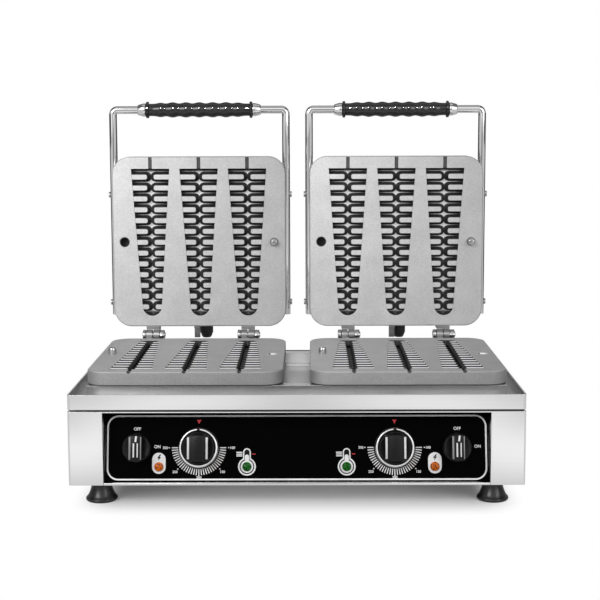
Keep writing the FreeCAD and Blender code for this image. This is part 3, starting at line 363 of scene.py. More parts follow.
def lensFinish(name, deep, bright):
    look = lensLook
    finish = newFinish(name, Roughness=look["rough"], Specular_IOR_Level=look["specular"])
    cells = {"Vector": finish.place(), "Scale": look["facets"]}
    facets = finish.node("ShaderNodeTexVoronoi", {"feature": "F1"}, cells, "Distance")
    shade = finish.blend(facets.between(*look["edge"]), deep, bright)
    return feed(finish, Base_Color=shade, Normal=finish.bump(facets, *look["bump"]))


looks = {
    "sheet": sheetFinish("brushed sheet", 0.9, 0.16),
    "tray": sheetFinish("tray sheet", 0.9, 0.16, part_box("drip_tray")),
    "cover": sheetFinish("lid sheet", 0.72, 0.36),
    "upperCast": castFinish("upper casting", upperCasting),
    "lowerCast": castFinish("lower casting", lowerCasting),
    "bracket": sheetFinish("bracket sheet", 0.25, 0.4),
    "hinge": sheetFinish("hinge casting", 0.4, 0.34),
    "chrome": chromeFinish("polished bar", 0.84, 0.01),
    "fastener": chromeFinish("turned steel", 0.55, 0.2),
    "element": chromeFinish("element tube", 0.30, 0.45),
    "grip": mouldedFinish("grip plastic", (0.011, 0.011, 0.012), 0.11, 500.0, 0.01),
    "rubber": mouldedFinish("foot rubber", (0.012, 0.012, 0.013), 0.3, 900.0, 0.1, 0.5),
    "panel": mouldedFinish("panel black", (0.0009, 0.0009, 0.0009), 0.42, 1200.0, 0.03, 0.015),
    "knob": mouldedFinish("knob plastic", (0.005, 0.005, 0.0053), 0.36, 800.0, 0.06, 0.25),
    "ring": chromeFinish("dial ring", 0.9, 0.3),
    # Pale strips for the highlights on the knobs' bevelled bar edges: painted highlights
    "highlightStrip": mouldedFinish("bright trim", (0.8, 0.8, 0.8), 0.4, 1500.0, 0.02),
    "dimHighlightStrip": mouldedFinish("dim trim", (0.3, 0.3, 0.3), 0.4, 1500.0, 0.02),
    "gland": mouldedFinish("gland nylon", (0.02, 0.02, 0.021), 0.5, 1000.0, 0.15),
    "white": mouldedFinish("white print", (0.93, 0.93, 0.93), 0.45, 1500.0, 0.02),
    "red": mouldedFinish("red print", (0.72, 0.03, 0.04), 0.45, 1500.0, 0.02),
    "black": mouldedFinish("black print", (0.006, 0.006, 0.006), 0.45, 1500.0, 0.02, 0.1),
    "amber": lensFinish("amber lens", (0.12, 0.012, 0.0004, 1), (0.72, 0.16, 0.005, 1)),
    "green": lensFinish("green lens", (0.0002, 0.006, 0.0002, 1), (0.0006, 0.14, 0.0015, 1)),
}
print("finishes made:", len(looks))

# Shapes, in millimetres. A profile is a list of radii and heights
weld = {"turned": 0.001, "copied": 0.003, "print": 0.01, "letter": 1e-5}
angles = {"flat": 0.6, "worked": 35, "smooth": 40}


def turned(profile, steps, ring=False):
    bm = bmesh.new()
    points = [bm.verts.new((radius * mm, 0, height * mm)) for radius, height in profile]
    pairs = list(zip(points, points[1:]))
    if ring:
        pairs.append((points[-1], points[0]))
    edges = [bm.edges.new(pair) for pair in pairs]
    bmesh.ops.spin(bm, geom=points + edges, cent=(0, 0, 0), axis=(0, 0, 1), angle=math.tau, steps=steps,
                   use_merge=True)
    bmesh.ops.remove_doubles(bm, verts=bm.verts, dist=weld["turned"] * mm)
    bmesh.ops.recalc_face_normals(bm, faces=bm.faces)
    return bm


def softened(bm, width, segments=2, limit=32, clamp=True):
    sharp = [edge for edge in bm.edges
             if len(edge.link_faces) == 2 and edge.calc_face_angle() > math.radians(limit)]
    bmesh.ops.bevel(bm, geom=sharp, offset=width * mm, affect="EDGES", segments=segments, profile=0.5,
                    material=-1, clamp_overlap=clamp)
    return bm


def turnedShape(profile, steps, edge, segments=2, limit=32, ring=False):
    return softened(turned(profile, steps, ring), edge, segments, limit)


def noseArc(inner, outer, low, high, rings=8):
    turns = [math.pi / 2 * ring / rings for ring in range(1, rings + 1)]
    return [(inner + (outer - inner) * math.cos(angle), low + (high - low) * math.sin(angle))
            for angle in turns]


def block(wide, long, high, edge, segments=3):
    bm = bmesh.new()
    bmesh.ops.create_cube(bm, size=1.0)
    bmesh.ops.scale(bm, vec=(wide * mm, long * mm, high * mm), verts=bm.verts)
    bmesh.ops.translate(bm, vec=(0, 0, high * mm / 2), verts=bm.verts)
    return softened(bm, edge, segments)


def disc(radius, segments):
    bm = bmesh.new()
    bmesh.ops.create_circle(bm, cap_ends=True, segments=segments, radius=radius * mm)
    return bm


def raised(bm, high):
    grown = bmesh.ops.extrude_face_region(bm, geom=bm.faces[:])["geom"]
    top = [item for item in grown if isinstance(item, bmesh.types.BMVert)]
    bmesh.ops.translate(bm, vec=(0, 0, high * mm), verts=top)
    bmesh.ops.recalc_face_normals(bm, faces=bm.faces)
    return bm


def hexagon(radius, high, edge):
    return softened(raised(disc(radius, 6), high), edge, 2, 20)


def placed(bm, *matrices):
    for matrix in matrices:
        bmesh.ops.transform(bm, matrix=matrix, verts=bm.verts)
    return bm


def shift(x=0.0, y=0.0, z=0.0):
    return Matrix.Translation((x * mm, y * mm, z * mm))


def turn(angle, axis):
    return Matrix.Rotation(math.radians(angle), 4, axis)


def gathered(shapes):
    whole = bmesh.new()
    for bm in shapes:
        mesh = bpy.data.meshes.new("shape")
        bm.to_mesh(mesh)
        bm.free()
        whole.from_mesh(mesh)
        bpy.data.meshes.remove(mesh)
    return whole


def repeated(shape, size, seats):
    return gathered([placed(shape(**size), seat) for seat in seats])


def copied(node):
    bm = bmesh.new()
    bm.from_mesh(frame["nodes"][node].data)
    bmesh.ops.remove_doubles(bm, verts=bm.verts, dist=weld["copied"] * mm)
    bmesh.ops.dissolve_limit(bm, angle_limit=math.radians(angles["flat"]), verts=bm.verts, edges=bm.edges)
    return bm


def boxOf(node):
    low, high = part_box(node)
    return low / mm, high / mm, (low + high) / 2 / mm


def insetEnds(low, high, inset):
    return (low + inset, high - inset)


def finished(name, bm, look, body, slot, *replaced):
    mesh = bpy.data.meshes.new(name)
    bm.to_mesh(mesh)
    bm.free()
    mesh.materials.append(looks[look])
    mesh.shade_smooth()
    mesh.set_sharp_from_angle(angle=math.radians(angles["smooth"]))
    piece = bpy.data.objects.new(name, mesh)
    scene.collection.objects.link(piece)
    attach(piece, body)
    if replaced:
        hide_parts(*replaced)
    return piece


# Sheet and cast pieces keep their own outlines and get worked edges
edgeWork = {"sheet": 0.45, "cast": 0.3, "hinge": 0.5}


def workedPiece(node, look, body, slot, edge, segments=2):
    bm = softened(copied(node), edge, segments, angles["worked"], False)
    low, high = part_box(node)
    for vert in bm.verts:  # no worked edge stands out of the piece
        vert.co = [min(max(value, least), most) for value, least, most in zip(vert.co, low, high)]
    piece = finished(f"{node}_worked", bm, look, body, slot, node)
    piece.modifiers.new("even shading", "WEIGHTED_NORMAL").keep_sharp = True


for node in ("body_shell", "bottom_cover", "front_rail", "rear_rail"):
    workedPiece(node, "sheet", "base", "steel_sheet", edgeWork["sheet"])
for side in sides:
    # The lower pans take the dark bracket sheet, painted shade for the dark line under the plates
    workedPiece(f"{side}_lower_pan", "bracket", "base", "steel_sheet", edgeWork["sheet"])
workedPiece("drip_tray", "tray", "base", "steel_sheet", edgeWork["sheet"])
for side in sides:
    lid = f"{side}_lid"
    workedPiece(f"{side}_lower_plate", "lowerCast", "base", "cast_plate", edgeWork["cast"])
    workedPiece(f"{side}_upper_plate", "upperCast", lid, "cast_plate", edgeWork["cast"])
    workedPiece(f"{side}_lid_cover", "cover", lid, "steel_sheet", edgeWork["sheet"])
    workedPiece(f"{side}_gland_bracket", "bracket", lid, "steel_sheet", edgeWork["sheet"])
    workedPiece(f"{side}_lid_hinges", "hinge", lid, "hinge_casting", edgeWork["hinge"], 3)
    workedPiece(f"{side}_fixed_hinges", "hinge", "base", "hinge_casting", edgeWork["hinge"], 3)
print("sheet and cast pieces worked")

# Pieces inside the iron keep their own shapes
hidden = {
    "gland": ("power_switches", "thermostats", "lamp_holders", "terminal_block"),
    "element": ("left_lower_element", "right_lower_element", "left_upper_element", "right_upper_element"),
    "fastener": ("foot_nuts",),
    "rubber": ("tray_seal",),
}
for look, nodes in hidden.items():
    for node in nodes:
        materials = frame["nodes"][node].data.materials
        materials.clear()
        materials.append(looks[look])

# Feet: flared rubber cones with a rolled brim, and the screw that holds each one
footSize = {
    "profile": ((2.75, 12.0), (6.0, 12.0), (6.0, 0.0), (16.8, 0.0), (18.0, 1.2), (18.0, 3.1), (17.2, 4.1),
                (16.1, 5.1), (14.8, 7.3), (13.4, 10.5), (12.2, 14.0), (11.4, 18.0), (11.0, 23.0),
                (10.2, 24.0), (2.75, 24.0)),
    "steps": 72, "edge": 0.4, "segments": 3, "limit": 24, "ring": True,
}
footPlace = {"inset": 18.0, "screwUp": 12.0}
footScrew = {"head": 5.0, "high": 3.0, "mouth": 2.5, "deep": 1.6, "edge": 1.2}


def socketScrew(head, high, mouth, deep, edge):
    profile = ((0, 0), (head, 0), (head, high), (mouth, high), (mouth, high - deep), (0, high - deep))
    return turnedShape(profile, 48, edge, 3)


low, high, middle = boxOf("feet")
feetX = insetEnds(low.x, high.x, footPlace["inset"])
feetY = insetEnds(low.y, high.y, footPlace["inset"])
seats = [shift(x, y) for x in feetX for y in feetY]
finished("feet_rubber", repeated(turnedShape, footSize, seats), "rubber", "base", "foot_rubber", "feet")
seats = [seat @ shift(z=footPlace["screwUp"]) @ turn(180, "X") for seat in seats]
finished("foot_screw_heads", repeated(socketScrew, footScrew, seats), "fastener", "base", "steel_fastener",
         "foot_screws")
print("feet and their screws made")

# Guide pins: bullet noses on the plates' faces
pinSize = {"radius": 4.75, "straight": 4.0, "nose": 3.0, "high": 8.5, "seat": 0.3, "edge": 0.5}


def guidePin(radius, straight, nose, high, seat, edge):
    profile = [(0, -seat), (radius, -seat), (radius, straight)] + noseArc(nose, radius, straight, high)
    return turnedShape(profile + [(0, high)], 48, edge, 2, 40)


low, high, middle = boxOf("lower_guide_pins")
seats = [shift(x, middle.y, lowerFace / mm) for x in insetEnds(low.x, high.x, pinSize["radius"])]
finished("lower_guide_noses", repeated(guidePin, pinSize, seats), "fastener", "base", "steel_fastener",
         "lower_guide_pins")
for side in sides:
    low, high, middle = boxOf(f"{side}_upper_guide_pin")
    seat = shift(middle.x, plateFace[side] / mm, middle.z) @ turn(90, "X")
    finished(f"{side}_guide_nose", repeated(guidePin, pinSize, [seat]), "fastener", f"{side}_lid",
             "steel_fastener", f"{side}_upper_guide_pin")
print("guide pins made")

# Hinge pins with domed heads and a nut on the far end
hingeSpread = 62.0
hingePin = {
    "profile": ((0, -13.4), (6.5, -13.4), (6.5, -8.9), (4.0, -8.9), (4.0, 15.9), (0, 15.9)),
    "steps": 48, "edge": 1.3, "segments": 3,
}
hingeNut = {"radius": 12.0 / math.sqrt(3), "high": 5.5, "edge": 0.6}
nutStart = 9.2
seats = []
for side in sides:
    centre = hinges[f"{side}_lid"] / mm
    for sign in (-1, 1):
        seats.append(shift(centre.x + sign * hingeSpread, centre.y, centre.z) @ turn(90, "Y"))
finished("hinge_pins_domed", repeated(turnedShape, hingePin, seats), "fastener", "base", "steel_fastener",
         "hinge_pins")
seats = [seat @ shift(z=nutStart) for seat in seats]
finished("hinge_nuts_hex", repeated(hexagon, hingeNut, seats), "fastener", "base", "steel_fastener",
         "hinge_nuts")
print("hinge pins and nuts made")

# Bail: one round bar bent twice, with its grip, collars and bolts
bailSize = {"rod": 5.0, "elbow": 5.8, "segments": 40, "bendSteps": 12, "edge": 0.7}
gripSize = {
    "half": 69.0, "bore": 5.05, "end": 10.8, "lip": 4.0, "lipCorner": 1.0, "lipTaper": 0.2, "lipBack": 0.8,
    "waist": 7.9, "body": 9.9, "wave": 1.5, "pitch": 17.3, "taper": 22.0, "rings": 120,
}
collarSize = {
    "profile": ((5.05, 0), (7.7, 0), (8.5, 0.8), (8.5, 3.5), (8.0, 5.5), (7.1, 8.8), (6.2, 11.0),
                (5.05, 11.0)),
    "steps": 56, "edge": 0.4, "limit": 25, "ring": True,
}
bailBolt = {"head": 3.8, "high": 2.2, "mouth": 1.875, "deep": 1.2, "edge": 0.88}
boltPlace = {"inset": 4.5, "headHigh": 3.0, "shank": ((0, -18.0), (2.5, -18.0), (2.5, 0.2), (0, 0.2))}
coverScrew = {"head": 4.0, "high": 2.5, "mouth": 1.875, "deep": 1.3, "edge": 1.0}


def bailShape(armX, foot, barZ, rod, elbow, segments, bendSteps, edge):
    bm = placed(disc(rod, segments), shift(-armX, 0, foot))
    bendX = (armX - elbow) * mm
    bendZ = (barZ - elbow) * mm
    rise = bendZ - foot * mm
    runs = [((0, 0, rise), (-bendX, 0, bendZ)), ((2 * bendX, 0, 0), (bendX, 0, bendZ)), ((0, 0, -rise), None)]
    loop = bm.edges[:]
    for run, bend in runs:
        grown = bmesh.ops.extrude_edge_only(bm, edges=loop)["geom"]
        verts = [item for item in grown if isinstance(item, bmesh.types.BMVert)]
        loop = [item for item in grown if isinstance(item, bmesh.types.BMEdge)]
        bmesh.ops.translate(bm, vec=run, verts=verts)
        if bend:
            spun = bmesh.ops.spin(bm, geom=loop, cent=bend, axis=(0, 1, 0), angle=math.pi / 2,
                                  steps=bendSteps)
            loop = [item for item in spun["geom_last"] if isinstance(item, bmesh.types.BMEdge)]
    bmesh.ops.edgeloop_fill(bm, edges=loop)
    bmesh.ops.remove_doubles(bm, verts=bm.verts, dist=weld["turned"] * mm)
    bmesh.ops.recalc_face_normals(bm, faces=bm.faces)
    return softened(bm, edge, 3, 60)


def gripShape(half, bore, end, lip, lipCorner, lipTaper, lipBack, waist, body, wave, pitch, taper, rings):
    inner = half - lip
    nearLip = [(bore, -half), (end - lipCorner, -half), (end, -half + lipCorner),
               (end - lipTaper, -inner - lipBack)]
    waves = []
    for ring in range(rings + 1):
        x = -inner + 2 * inner * ring / rings
        flare = min(1.0, max(0.0, (abs(x) - (half - taper)) / taper))
        wavy = body - wave * (0.5 - 0.5 * math.cos(math.tau * x / pitch))
        waves.append((wavy + (waist - wavy) * math.sin(flare * math.pi / 2), x))
    farLip = [(radius, -x) for radius, x in reversed(nearLip)]
    return turned(nearLip + waves + farLip, 64, True)


def boltShape(**head):
    return gathered([socketScrew(**head), turned(boltPlace["shank"], 24)])


for side in sides:
    lid = f"{side}_lid"
    low, high, middle = boxOf(f"{side}_bail")
    barY = middle.y
    barZ = high.z - bailSize["rod"]
    bail = bailShape((high.x - low.x) / 2 - bailSize["rod"], low.z, barZ, **bailSize)
    finished(f"{side}_bail_bar", placed(bail, shift(middle.x, barY)), "chrome", lid, "bright_rod",
             f"{side}_bail")
    seat = shift(middle.x, barY, barZ)
    finished(f"{side}_grip_moulded", repeated(gripShape, gripSize, [seat @ turn(90, "Y")]), "grip", lid,
             "grip_black", f"{side}_grip")
    seats = [seat @ shift(sign * gripSize["half"]) @ turn(90 * sign, "Y") for sign in (-1, 1)]
    finished(f"{side}_collars_turned", repeated(turnedShape, collarSize, seats), "chrome", lid, "bright_rod",
             f"{side}_grip_collars")
    low, high, middle = boxOf(f"{side}_bail_bolts")
    ends = list(zip((-1, 1), insetEnds(low.x, high.x, boltPlace["headHigh"])))
    levels = insetEnds(low.z, high.z, boltPlace["inset"])
    seats = [shift(x, barY, z) @ turn(90 * sign, "Y") for z in levels for sign, x in ends]
    finished(f"{side}_bail_bolts_domed", repeated(boltShape, bailBolt, seats), "fastener", lid,
             "steel_fastener", f"{side}_bail_bolts")
    low, high, middle = boxOf(f"{side}_cover_screws")
    columns = insetEnds(low.x, high.x, coverScrew["head"])
    levels = insetEnds(low.z, high.z, coverScrew["head"])
    seats = [shift(x, high.y - coverScrew["high"], z) @ turn(-90, "X") for x in columns for z in levels]
    finished(f"{side}_cover_screws_domed", repeated(socketScrew, coverScrew, seats), "fastener", lid,
             "steel_fastener", f"{side}_cover_screws")
print("bails, grips, collars and bolts made")

# Cable glands: a hexagonal foot, a neck and a fluted cap round the bore
glandSize = {
    "foot": (9.5, 7.0, 0.6), "spigot": ((3.5, -6.0), (6.0, -6.0), (6.0, 0.2), (3.5, 0.2)),
    "neck": ((3.5, 6.8), (7.5, 6.8), (7.5, 15.2), (3.5, 15.2)),
    "cap": 8.5, "capUp": 15.0, "capHigh": 10.0, "capEdge": 0.35, "flutes": 18, "flute": 0.94, "domeEdge": 0.5,
    "dome": ((3.5, 23.0), (3.5, 31.0), (5.3, 31.0), (7.1, 28.0), (7.9, 24.8), (4.0, 23.0)),
}
glandTop = 31.0


def glandShape(foot, spigot, neck, cap, capUp, capHigh, capEdge, flutes, flute, domeEdge, dome):
    fluted = disc(cap, flutes * 4)
    for vert in list(fluted.verts)[::4]:
        vert.co *= flute
    fluted = softened(placed(raised(fluted, capHigh), shift(z=capUp)), capEdge, 2, 25)
    return gathered([hexagon(*foot), turned(spigot, 36, True), turned(neck, 48, True), fluted,
                     turnedShape(dome, 56, domeEdge, 3, 25, True)])


low, high, middle = boxOf("mains_gland")
seat = shift(middle.x, high.y - glandTop, middle.z) @ turn(-90, "X")
finished("mains_gland_fluted", repeated(glandShape, glandSize, [seat]), "gland", "base", "gland_black",
         "mains_gland")
for side in sides:
    low, high, middle = boxOf(f"{side}_lid_gland")
    seat = shift(middle.x, middle.y, low.z + glandTop) @ turn(180, "X")
    finished(f"{side}_lid_gland_fluted", repeated(glandShape, glandSize, [seat]), "gland", f"{side}_lid",
             "gland_black", f"{side}_lid_gland")
print("glands made")

# The panel's own frame: x to the right, y up the slope from its lower edge, z out of its face
panelSize = {"tilt": 13.0, "lowY": -141.0, "lowZ": 26.0, "half": 215.7, "edge": 0.4}
panelFrame = shift(0, panelSize["lowY"], panelSize["lowZ"]) @ turn(90 - panelSize["tilt"], "X")
spots = {"knobRow": 38.2, "lampRow": 17.1, "switch": 180.0, "amber": 155.0, "dial": 110.0, "green": 56.0}
workedPiece("control_panel", "panel", "base", "panel_black", panelSize["edge"])


def spot(x, y):
    return panelFrame @ shift(x, y)


# Lip: the folded edge of the sheet under the panel, from post to post
lipSize = {"wide": 2 * panelSize["half"], "long": 7.0, "high": 2.7, "edge": 0.4, "segments": 2}
low, high, middle = boxOf("body_shell")
seat = shift(0, low.y + lipSize["long"] / 2, low.z)
finished("panel_lip", repeated(block, lipSize, [seat]), "sheet", "base", "steel_sheet")

# Printing: thin raised shapes on the panel's face
filmSize = {"film": 0.06, "layer": 0.04, "cornerSteps": 10, "bolder": 0.02}
borderSize = {"half": 213.6, "low": 2.0, "high": 74.5, "line": 1.8, "corner": 13.0}
switchSign = {"high": 3.5, "words": (("OFF", 0.5, 21.1), ("ON", 23.1, 1.2))}
amberSign = {
    "badge": (15.2, 23.5, 7.55), "badgeUp": 3.9, "boltAside": 0.2, "boltUp": 10.0,
    "bolt": ((0.9, 3.6), (-2.3, -0.5), (-0.5, -0.5), (-1.2, -3.6), (2.3, 0.9), (0.5, 0.8), (2.4, 3.5)),
}
dialSign = {
    "arrow": ((-2.6, 2.2), (0, -2.4), (2.6, 2.2)), "arrowUp": 28.9, "start": -180.0, "sweep": 180.0,
    "ticks": 33, "tickStart": 23.6, "tickEnd": 30.6, "tickWide": 1.1, "dot": 0.7, "dotAt": 33.4,
    "numbers": ("300", "250", "200", "150", "100"), "numberHigh": 2.9, "numberAt": 37.9,
    "lowDotAt": 31.1, "lowNumberAt": 33.1,  # the lowest ones keep clear of the border
}
greenSign = {
    "keyholes": (("white", 10.0, 4.35, 20.5), ("black", 8.35, 2.95, 19.0), ("white", 7.1, 2.4, 13.4)),
    "line": (6.6, 1.2), "lineAside": -8.5, "linesUp": (15.9, 13.9, 11.9),
    "mark": (3.7, 1.0), "markAside": 7.85, "markUp": 14.0,
}
prints = {"white": [], "red": [], "black": []}


def bar(wide, high):
    bm = bmesh.new()
    bmesh.ops.create_grid(bm, x_segments=1, y_segments=1, size=0.5)
    bmesh.ops.scale(bm, vec=(wide * mm, high * mm, 1), verts=bm.verts)
    return bm


def roundedFace(wide, high, corner):
    bm = bar(wide, high)
    bmesh.ops.bevel(bm, geom=bm.verts[:], offset=corner * mm, affect="VERTICES",
                    segments=filmSize["cornerSteps"], profile=0.5, material=-1)
    bmesh.ops.remove_doubles(bm, verts=bm.verts, dist=weld["print"] * mm)
    return bm


def outline(points):
    bm = bmesh.new()
    bm.faces.new([bm.verts.new((x * mm, y * mm, 0)) for x, y in points])
    return bm


def arcPoints(radius, start, sweep, steps, up=0.0):
    turns = [start + sweep * step / steps for step in range(steps + 1)]
    return [(radius * math.cos(angle), up + radius * math.sin(angle)) for angle in turns]


def keyhole(radius, half, top):
    start = math.asin(half / radius)
    bulb = arcPoints(radius, math.pi / 2 + start, math.tau - 2 * start, 40)
    return outline(bulb + arcPoints(half, 0.0, math.pi, 12, top - half))


def lettering(words, high):
    curve = bpy.data.curves.new("lettering", "FONT")
    curve.body = words
    curve.offset = filmSize["bolder"]
    text = bpy.data.objects.new("lettering", curve)
    mesh = bpy.data.meshes.new_from_object(text)
    bm = bmesh.new()
    bm.from_mesh(mesh)
    bpy.data.objects.remove(text)
    bpy.data.curves.remove(curve)
    bpy.data.meshes.remove(mesh)
    bmesh.ops.remove_doubles(bm, verts=bm.verts, dist=weld["letter"])
    tops = [vert.co.y for vert in bm.verts]
    across = [vert.co.x for vert in bm.verts]
    centre = Vector(((min(across) + max(across)) / 2, (min(tops) + max(tops)) / 2, 0))
    bmesh.ops.translate(bm, vec=-centre, verts=bm.verts)
    size = high * mm / (max(tops) - min(tops))
    bmesh.ops.scale(bm, vec=(size, size, 1), verts=bm.verts)
    return bm


def printOn(colour, bm, x, y, layer=0):
    high = filmSize["film"] + layer * filmSize["layer"]
    prints[colour].append(placed(raised(bm, high), spot(x, y)))


def printBorder(size):
    bm = roundedFace(2 * size["half"], size["high"] - size["low"], size["corner"])
    faces = bm.faces[:]
    bmesh.ops.inset_region(bm, faces=faces, thickness=size["line"] * mm, use_even_offset=True,
                           use_boundary=True)
    bmesh.ops.delete(bm, geom=faces, context="FACES")
    printOn("white", bm, 0, (size["low"] + size["high"]) / 2)


def printSwitch(x, row, sign):
    for word, aside, up in sign["words"]:
        printOn("white", lettering(word, sign["high"]), x + aside, row + up)


def printAmber(x, row, sign):
    printOn("white", roundedFace(*sign["badge"]), x, row + sign["badgeUp"])
    printOn("black", outline(sign["bolt"]), x + sign["boltAside"], row + sign["boltUp"], 1)


def printDial(x, row, sign):
    printOn("red", outline(sign["arrow"]), x, row + sign["arrowUp"])
    for step in range(sign["ticks"]):
        angle = sign["start"] + sign["sweep"] * step / (sign["ticks"] - 1)
        tick = placed(bar(sign["tickEnd"] - sign["tickStart"], sign["tickWide"]),
                      shift((sign["tickEnd"] + sign["tickStart"]) / 2), turn(angle, "Z"))
        printOn("white", tick, x, row)
    spaces = len(sign["numbers"]) - 1
    for step, number in enumerate(sign["numbers"]):
        angle = math.radians(sign["start"] + sign["sweep"] * step / spaces)
        away = Vector((math.cos(angle), math.sin(angle)))
        lowest = step == spaces // 2
        dot = away * sign["lowDotAt" if lowest else "dotAt"]
        label = away * sign["lowNumberAt" if lowest else "numberAt"]
        printOn("white", disc(sign["dot"], 12), x + dot.x, row + dot.y)
        printOn("white", lettering(number, sign["numberHigh"]), x + label.x, row + label.y)


def printGreen(x, row, sign):
    for layer, (colour, radius, half, top) in enumerate(sign["keyholes"]):
        printOn(colour, keyhole(radius, half, top), x, row, layer)
    for up in sign["linesUp"]:
        printOn("white", bar(*sign["line"]), x + sign["lineAside"], row + up)
    printOn("red", bar(*sign["mark"]), x + sign["markAside"], row + sign["markUp"])


printBorder(borderSize)
for sign in sides.values():
    printSwitch(sign * spots["switch"], spots["knobRow"], switchSign)
    printAmber(sign * spots["amber"], spots["lampRow"], amberSign)
    printDial(sign * spots["dial"], spots["knobRow"], dialSign)
    printGreen(sign * spots["green"], spots["lampRow"], greenSign)
for colour, shapes in prints.items():
    finished(f"panel_print_{colour}", gathered(shapes), colour, "base", "panel_black")
print("panel printed")

# Lamp lenses: low domes, each on its stem through the panel
lensSize = {
    "profile": [(0, -8.0), (4.0, -8.0), (4.0, 0.2), (5.1, 0.2), (5.1, 1.0)] + noseArc(0, 5.1, 1.0, 3.2),
    "steps": 40,
}
for colour in ("amber", "green"):
    seats = [spot(sign * spots[colour], spots["lampRow"]) for sign in sides.values()]
    finished(f"{colour}_lenses", repeated(turned, lensSize, seats), colour, "base", f"lens_{colour}",
             f"{colour}_lamps")
print("lenses made")

# Knobs: the switch's disc and bar, and the dial with its bright ring
discEdge = {"steps": 72, "edge": 0.35, "limit": 25}
switchSize = {
    "disc": ((0, -12.0), (3.0, -12.0), (3.0, 0.6), (16.5, 0.6), (16.5, 2.0), (16.0, 2.4), (15.8, 7.4),
             (14.5, 8.6), (13.3, 8.1), (0, 8.1)),
    "bar": (15.5, 29.0, 9.0, 1.5), "barUp": 8.0, "top": 17.0, "film": 0.12,
    "pointer": (2.1, 6.4), "pointerAt": (0.9, 10.2), "pointerTurn": -8,
    "stripes": ((-1.6, 1.6), (2.7, 1.2)), "stripeLong": 15.5, "stripeAt": -2.4,
    "highlightStrips": ((-5.95, 2.0), (6.35, 1.2)), "highlightStrip": (25.0, 0.5, 0.2), "highlightStripUp": 16.6,
}
dialSize = {
    "disc": ((0, -12.0), (3.0, -12.0), (3.0, 0.6), (19.0, 0.6), (19.0, 2.0), (18.5, 2.4), (18.3, 10.4),
             (17.0, 11.6), (15.8, 11.1), (0, 11.1)),
    "bar": (23.4, 29.0, 11.0, 1.5), "barUp": 11.0,
    "insert": (11.6, 28.0, 3.5), "insertHigh": 0.5, "insertUp": 21.95, "insertEdge": 0.18,
    "stud": ((0, 0), (0.9, 0), (0.7, 0.35), (0, 0.5)), "studRows": (-8.0, 0.0, 8.0), "studAside": (-2.0, 2.0),
    "studUp": 22.4, "highlightStrip": (2.3, 24.0, 0.7, 0.25), "highlightStripAside": (-10.35, 10.35), "highlightStripUp": 21.5,
}
ringSize = {
    "profile": ((19.05, 0.6), (22.25, 0.6), (22.25, 7.0), (21.55, 8.9), (20.85, 9.6), (19.65, 9.6),
                (19.05, 9.1)),
    "steps": 96, "edge": 0.3, "limit": 25, "ring": True,
}
arrowSize = {"outline": ((-3.2, 0), (3.2, 0), (0, 3.6)), "high": 0.15, "place": (0, 18.65, 9.6)}


def knobShapes(knob):
    return [turnedShape(knob["disc"], **discEdge), placed(block(*knob["bar"]), shift(z=knob["barUp"]))]


def makeSwitch(side, seat, knob):
    body = f"{side}_switch"
    finished(f"{side}_switch_moulded", placed(gathered(knobShapes(knob)), seat), "knob", body, "knob_black",
             f"{side}_switch_knob")
    pointer = raised(bar(*knob["pointer"]), knob["film"])
    marks = [placed(pointer, turn(knob["pointerTurn"], "Z"), shift(*knob["pointerAt"], knob["top"]))]
    for aside, wide in knob["stripes"]:
        stripe = raised(bar(wide, knob["stripeLong"]), knob["film"])
        marks.append(placed(stripe, shift(aside, knob["stripeAt"], knob["top"])))
    finished(f"{side}_switch_marks", placed(gathered(marks), seat), "white", body, "knob_black")
    # Pale strips along the bar's edges: painted highlights
    highlightStrips = []
    for aside, wide in knob["highlightStrips"]:
        highlightStrips.append(placed(block(wide, *knob["highlightStrip"], 2), shift(aside, 0, knob["highlightStripUp"])))
    finished(f"{side}_switch_trims", placed(gathered(highlightStrips), seat), "dimHighlightStrip", body, "ring_silver")


def makeDial(side, seat, knob):
    body = f"{side}_dial"
    insert = placed(raised(roundedFace(*knob["insert"]), knob["insertHigh"]), shift(z=knob["insertUp"]))
    shapes = knobShapes(knob) + [softened(insert, knob["insertEdge"], 2, 60)]
    for row in knob["studRows"]:
        for aside in knob["studAside"]:
            shapes.append(placed(turned(knob["stud"], 16), shift(aside, row, knob["studUp"])))
    finished(f"{side}_dial_moulded", placed(gathered(shapes), seat), "knob", body, "knob_black",
             f"{side}_dial_knob")
    # Pale strips along the bar's edges: painted highlights
    highlightStrips = [placed(block(*knob["highlightStrip"], 2), shift(aside, 0, knob["highlightStripUp"])) for aside in knob["highlightStripAside"]]
    finished(f"{side}_dial_trims", placed(gathered(highlightStrips), seat), "highlightStrip", body, "ring_silver")
    finished(f"{side}_dial_ring_turned", placed(turnedShape(**ringSize), seat), "ring", body, "ring_silver",
             f"{side}_dial_ring")
    arrow = placed(raised(outline(arrowSize["outline"]), arrowSize["high"]), shift(*arrowSize["place"]), seat)
    finished(f"{side}_dial_pointer", arrow, "black", body, "knob_black")


for side, sign in sides.items():
    makeSwitch(side, spot(sign * spots["switch"], spots["knobRow"]), switchSize)
    makeDial(side, spot(sign * spots["dial"], spots["knobRow"]), dialSize)
print("knobs made")

# Floor: shaded under the iron and white round it. Reflected, it is dark behind and far ahead, with bright
# pools before the iron
floorSize = {
    "half": 14.0, "halfX": 0.2, "halfY": 0.118, "middleY": -0.01, "fade": (0.0, 0.06), "lift": 0.09,
    "albedo": 0.86, "grain": (30.0, 3.0), "grainDim": 0.99, "least": 0.001,
    "behind": (-0.1, 0.25), "behindFar": (0.7, 1.1), "behindDark": 0.93,
    "ahead": (-0.99, -0.95), "aheadFar": (1.4, 1.9), "aheadDark": 0.75,
    "pools": ((0.3, -0.41), (0.18, -0.7)), "poolFade": (0.02, 0.24), "poolDepth": 0.38,
}


def lightPaths(finish):
    names = ("Camera", "Glossy", "Transmission")
    return [finish.node("ShaderNodeLightPath", output=f"Is {name} Ray") for name in names]


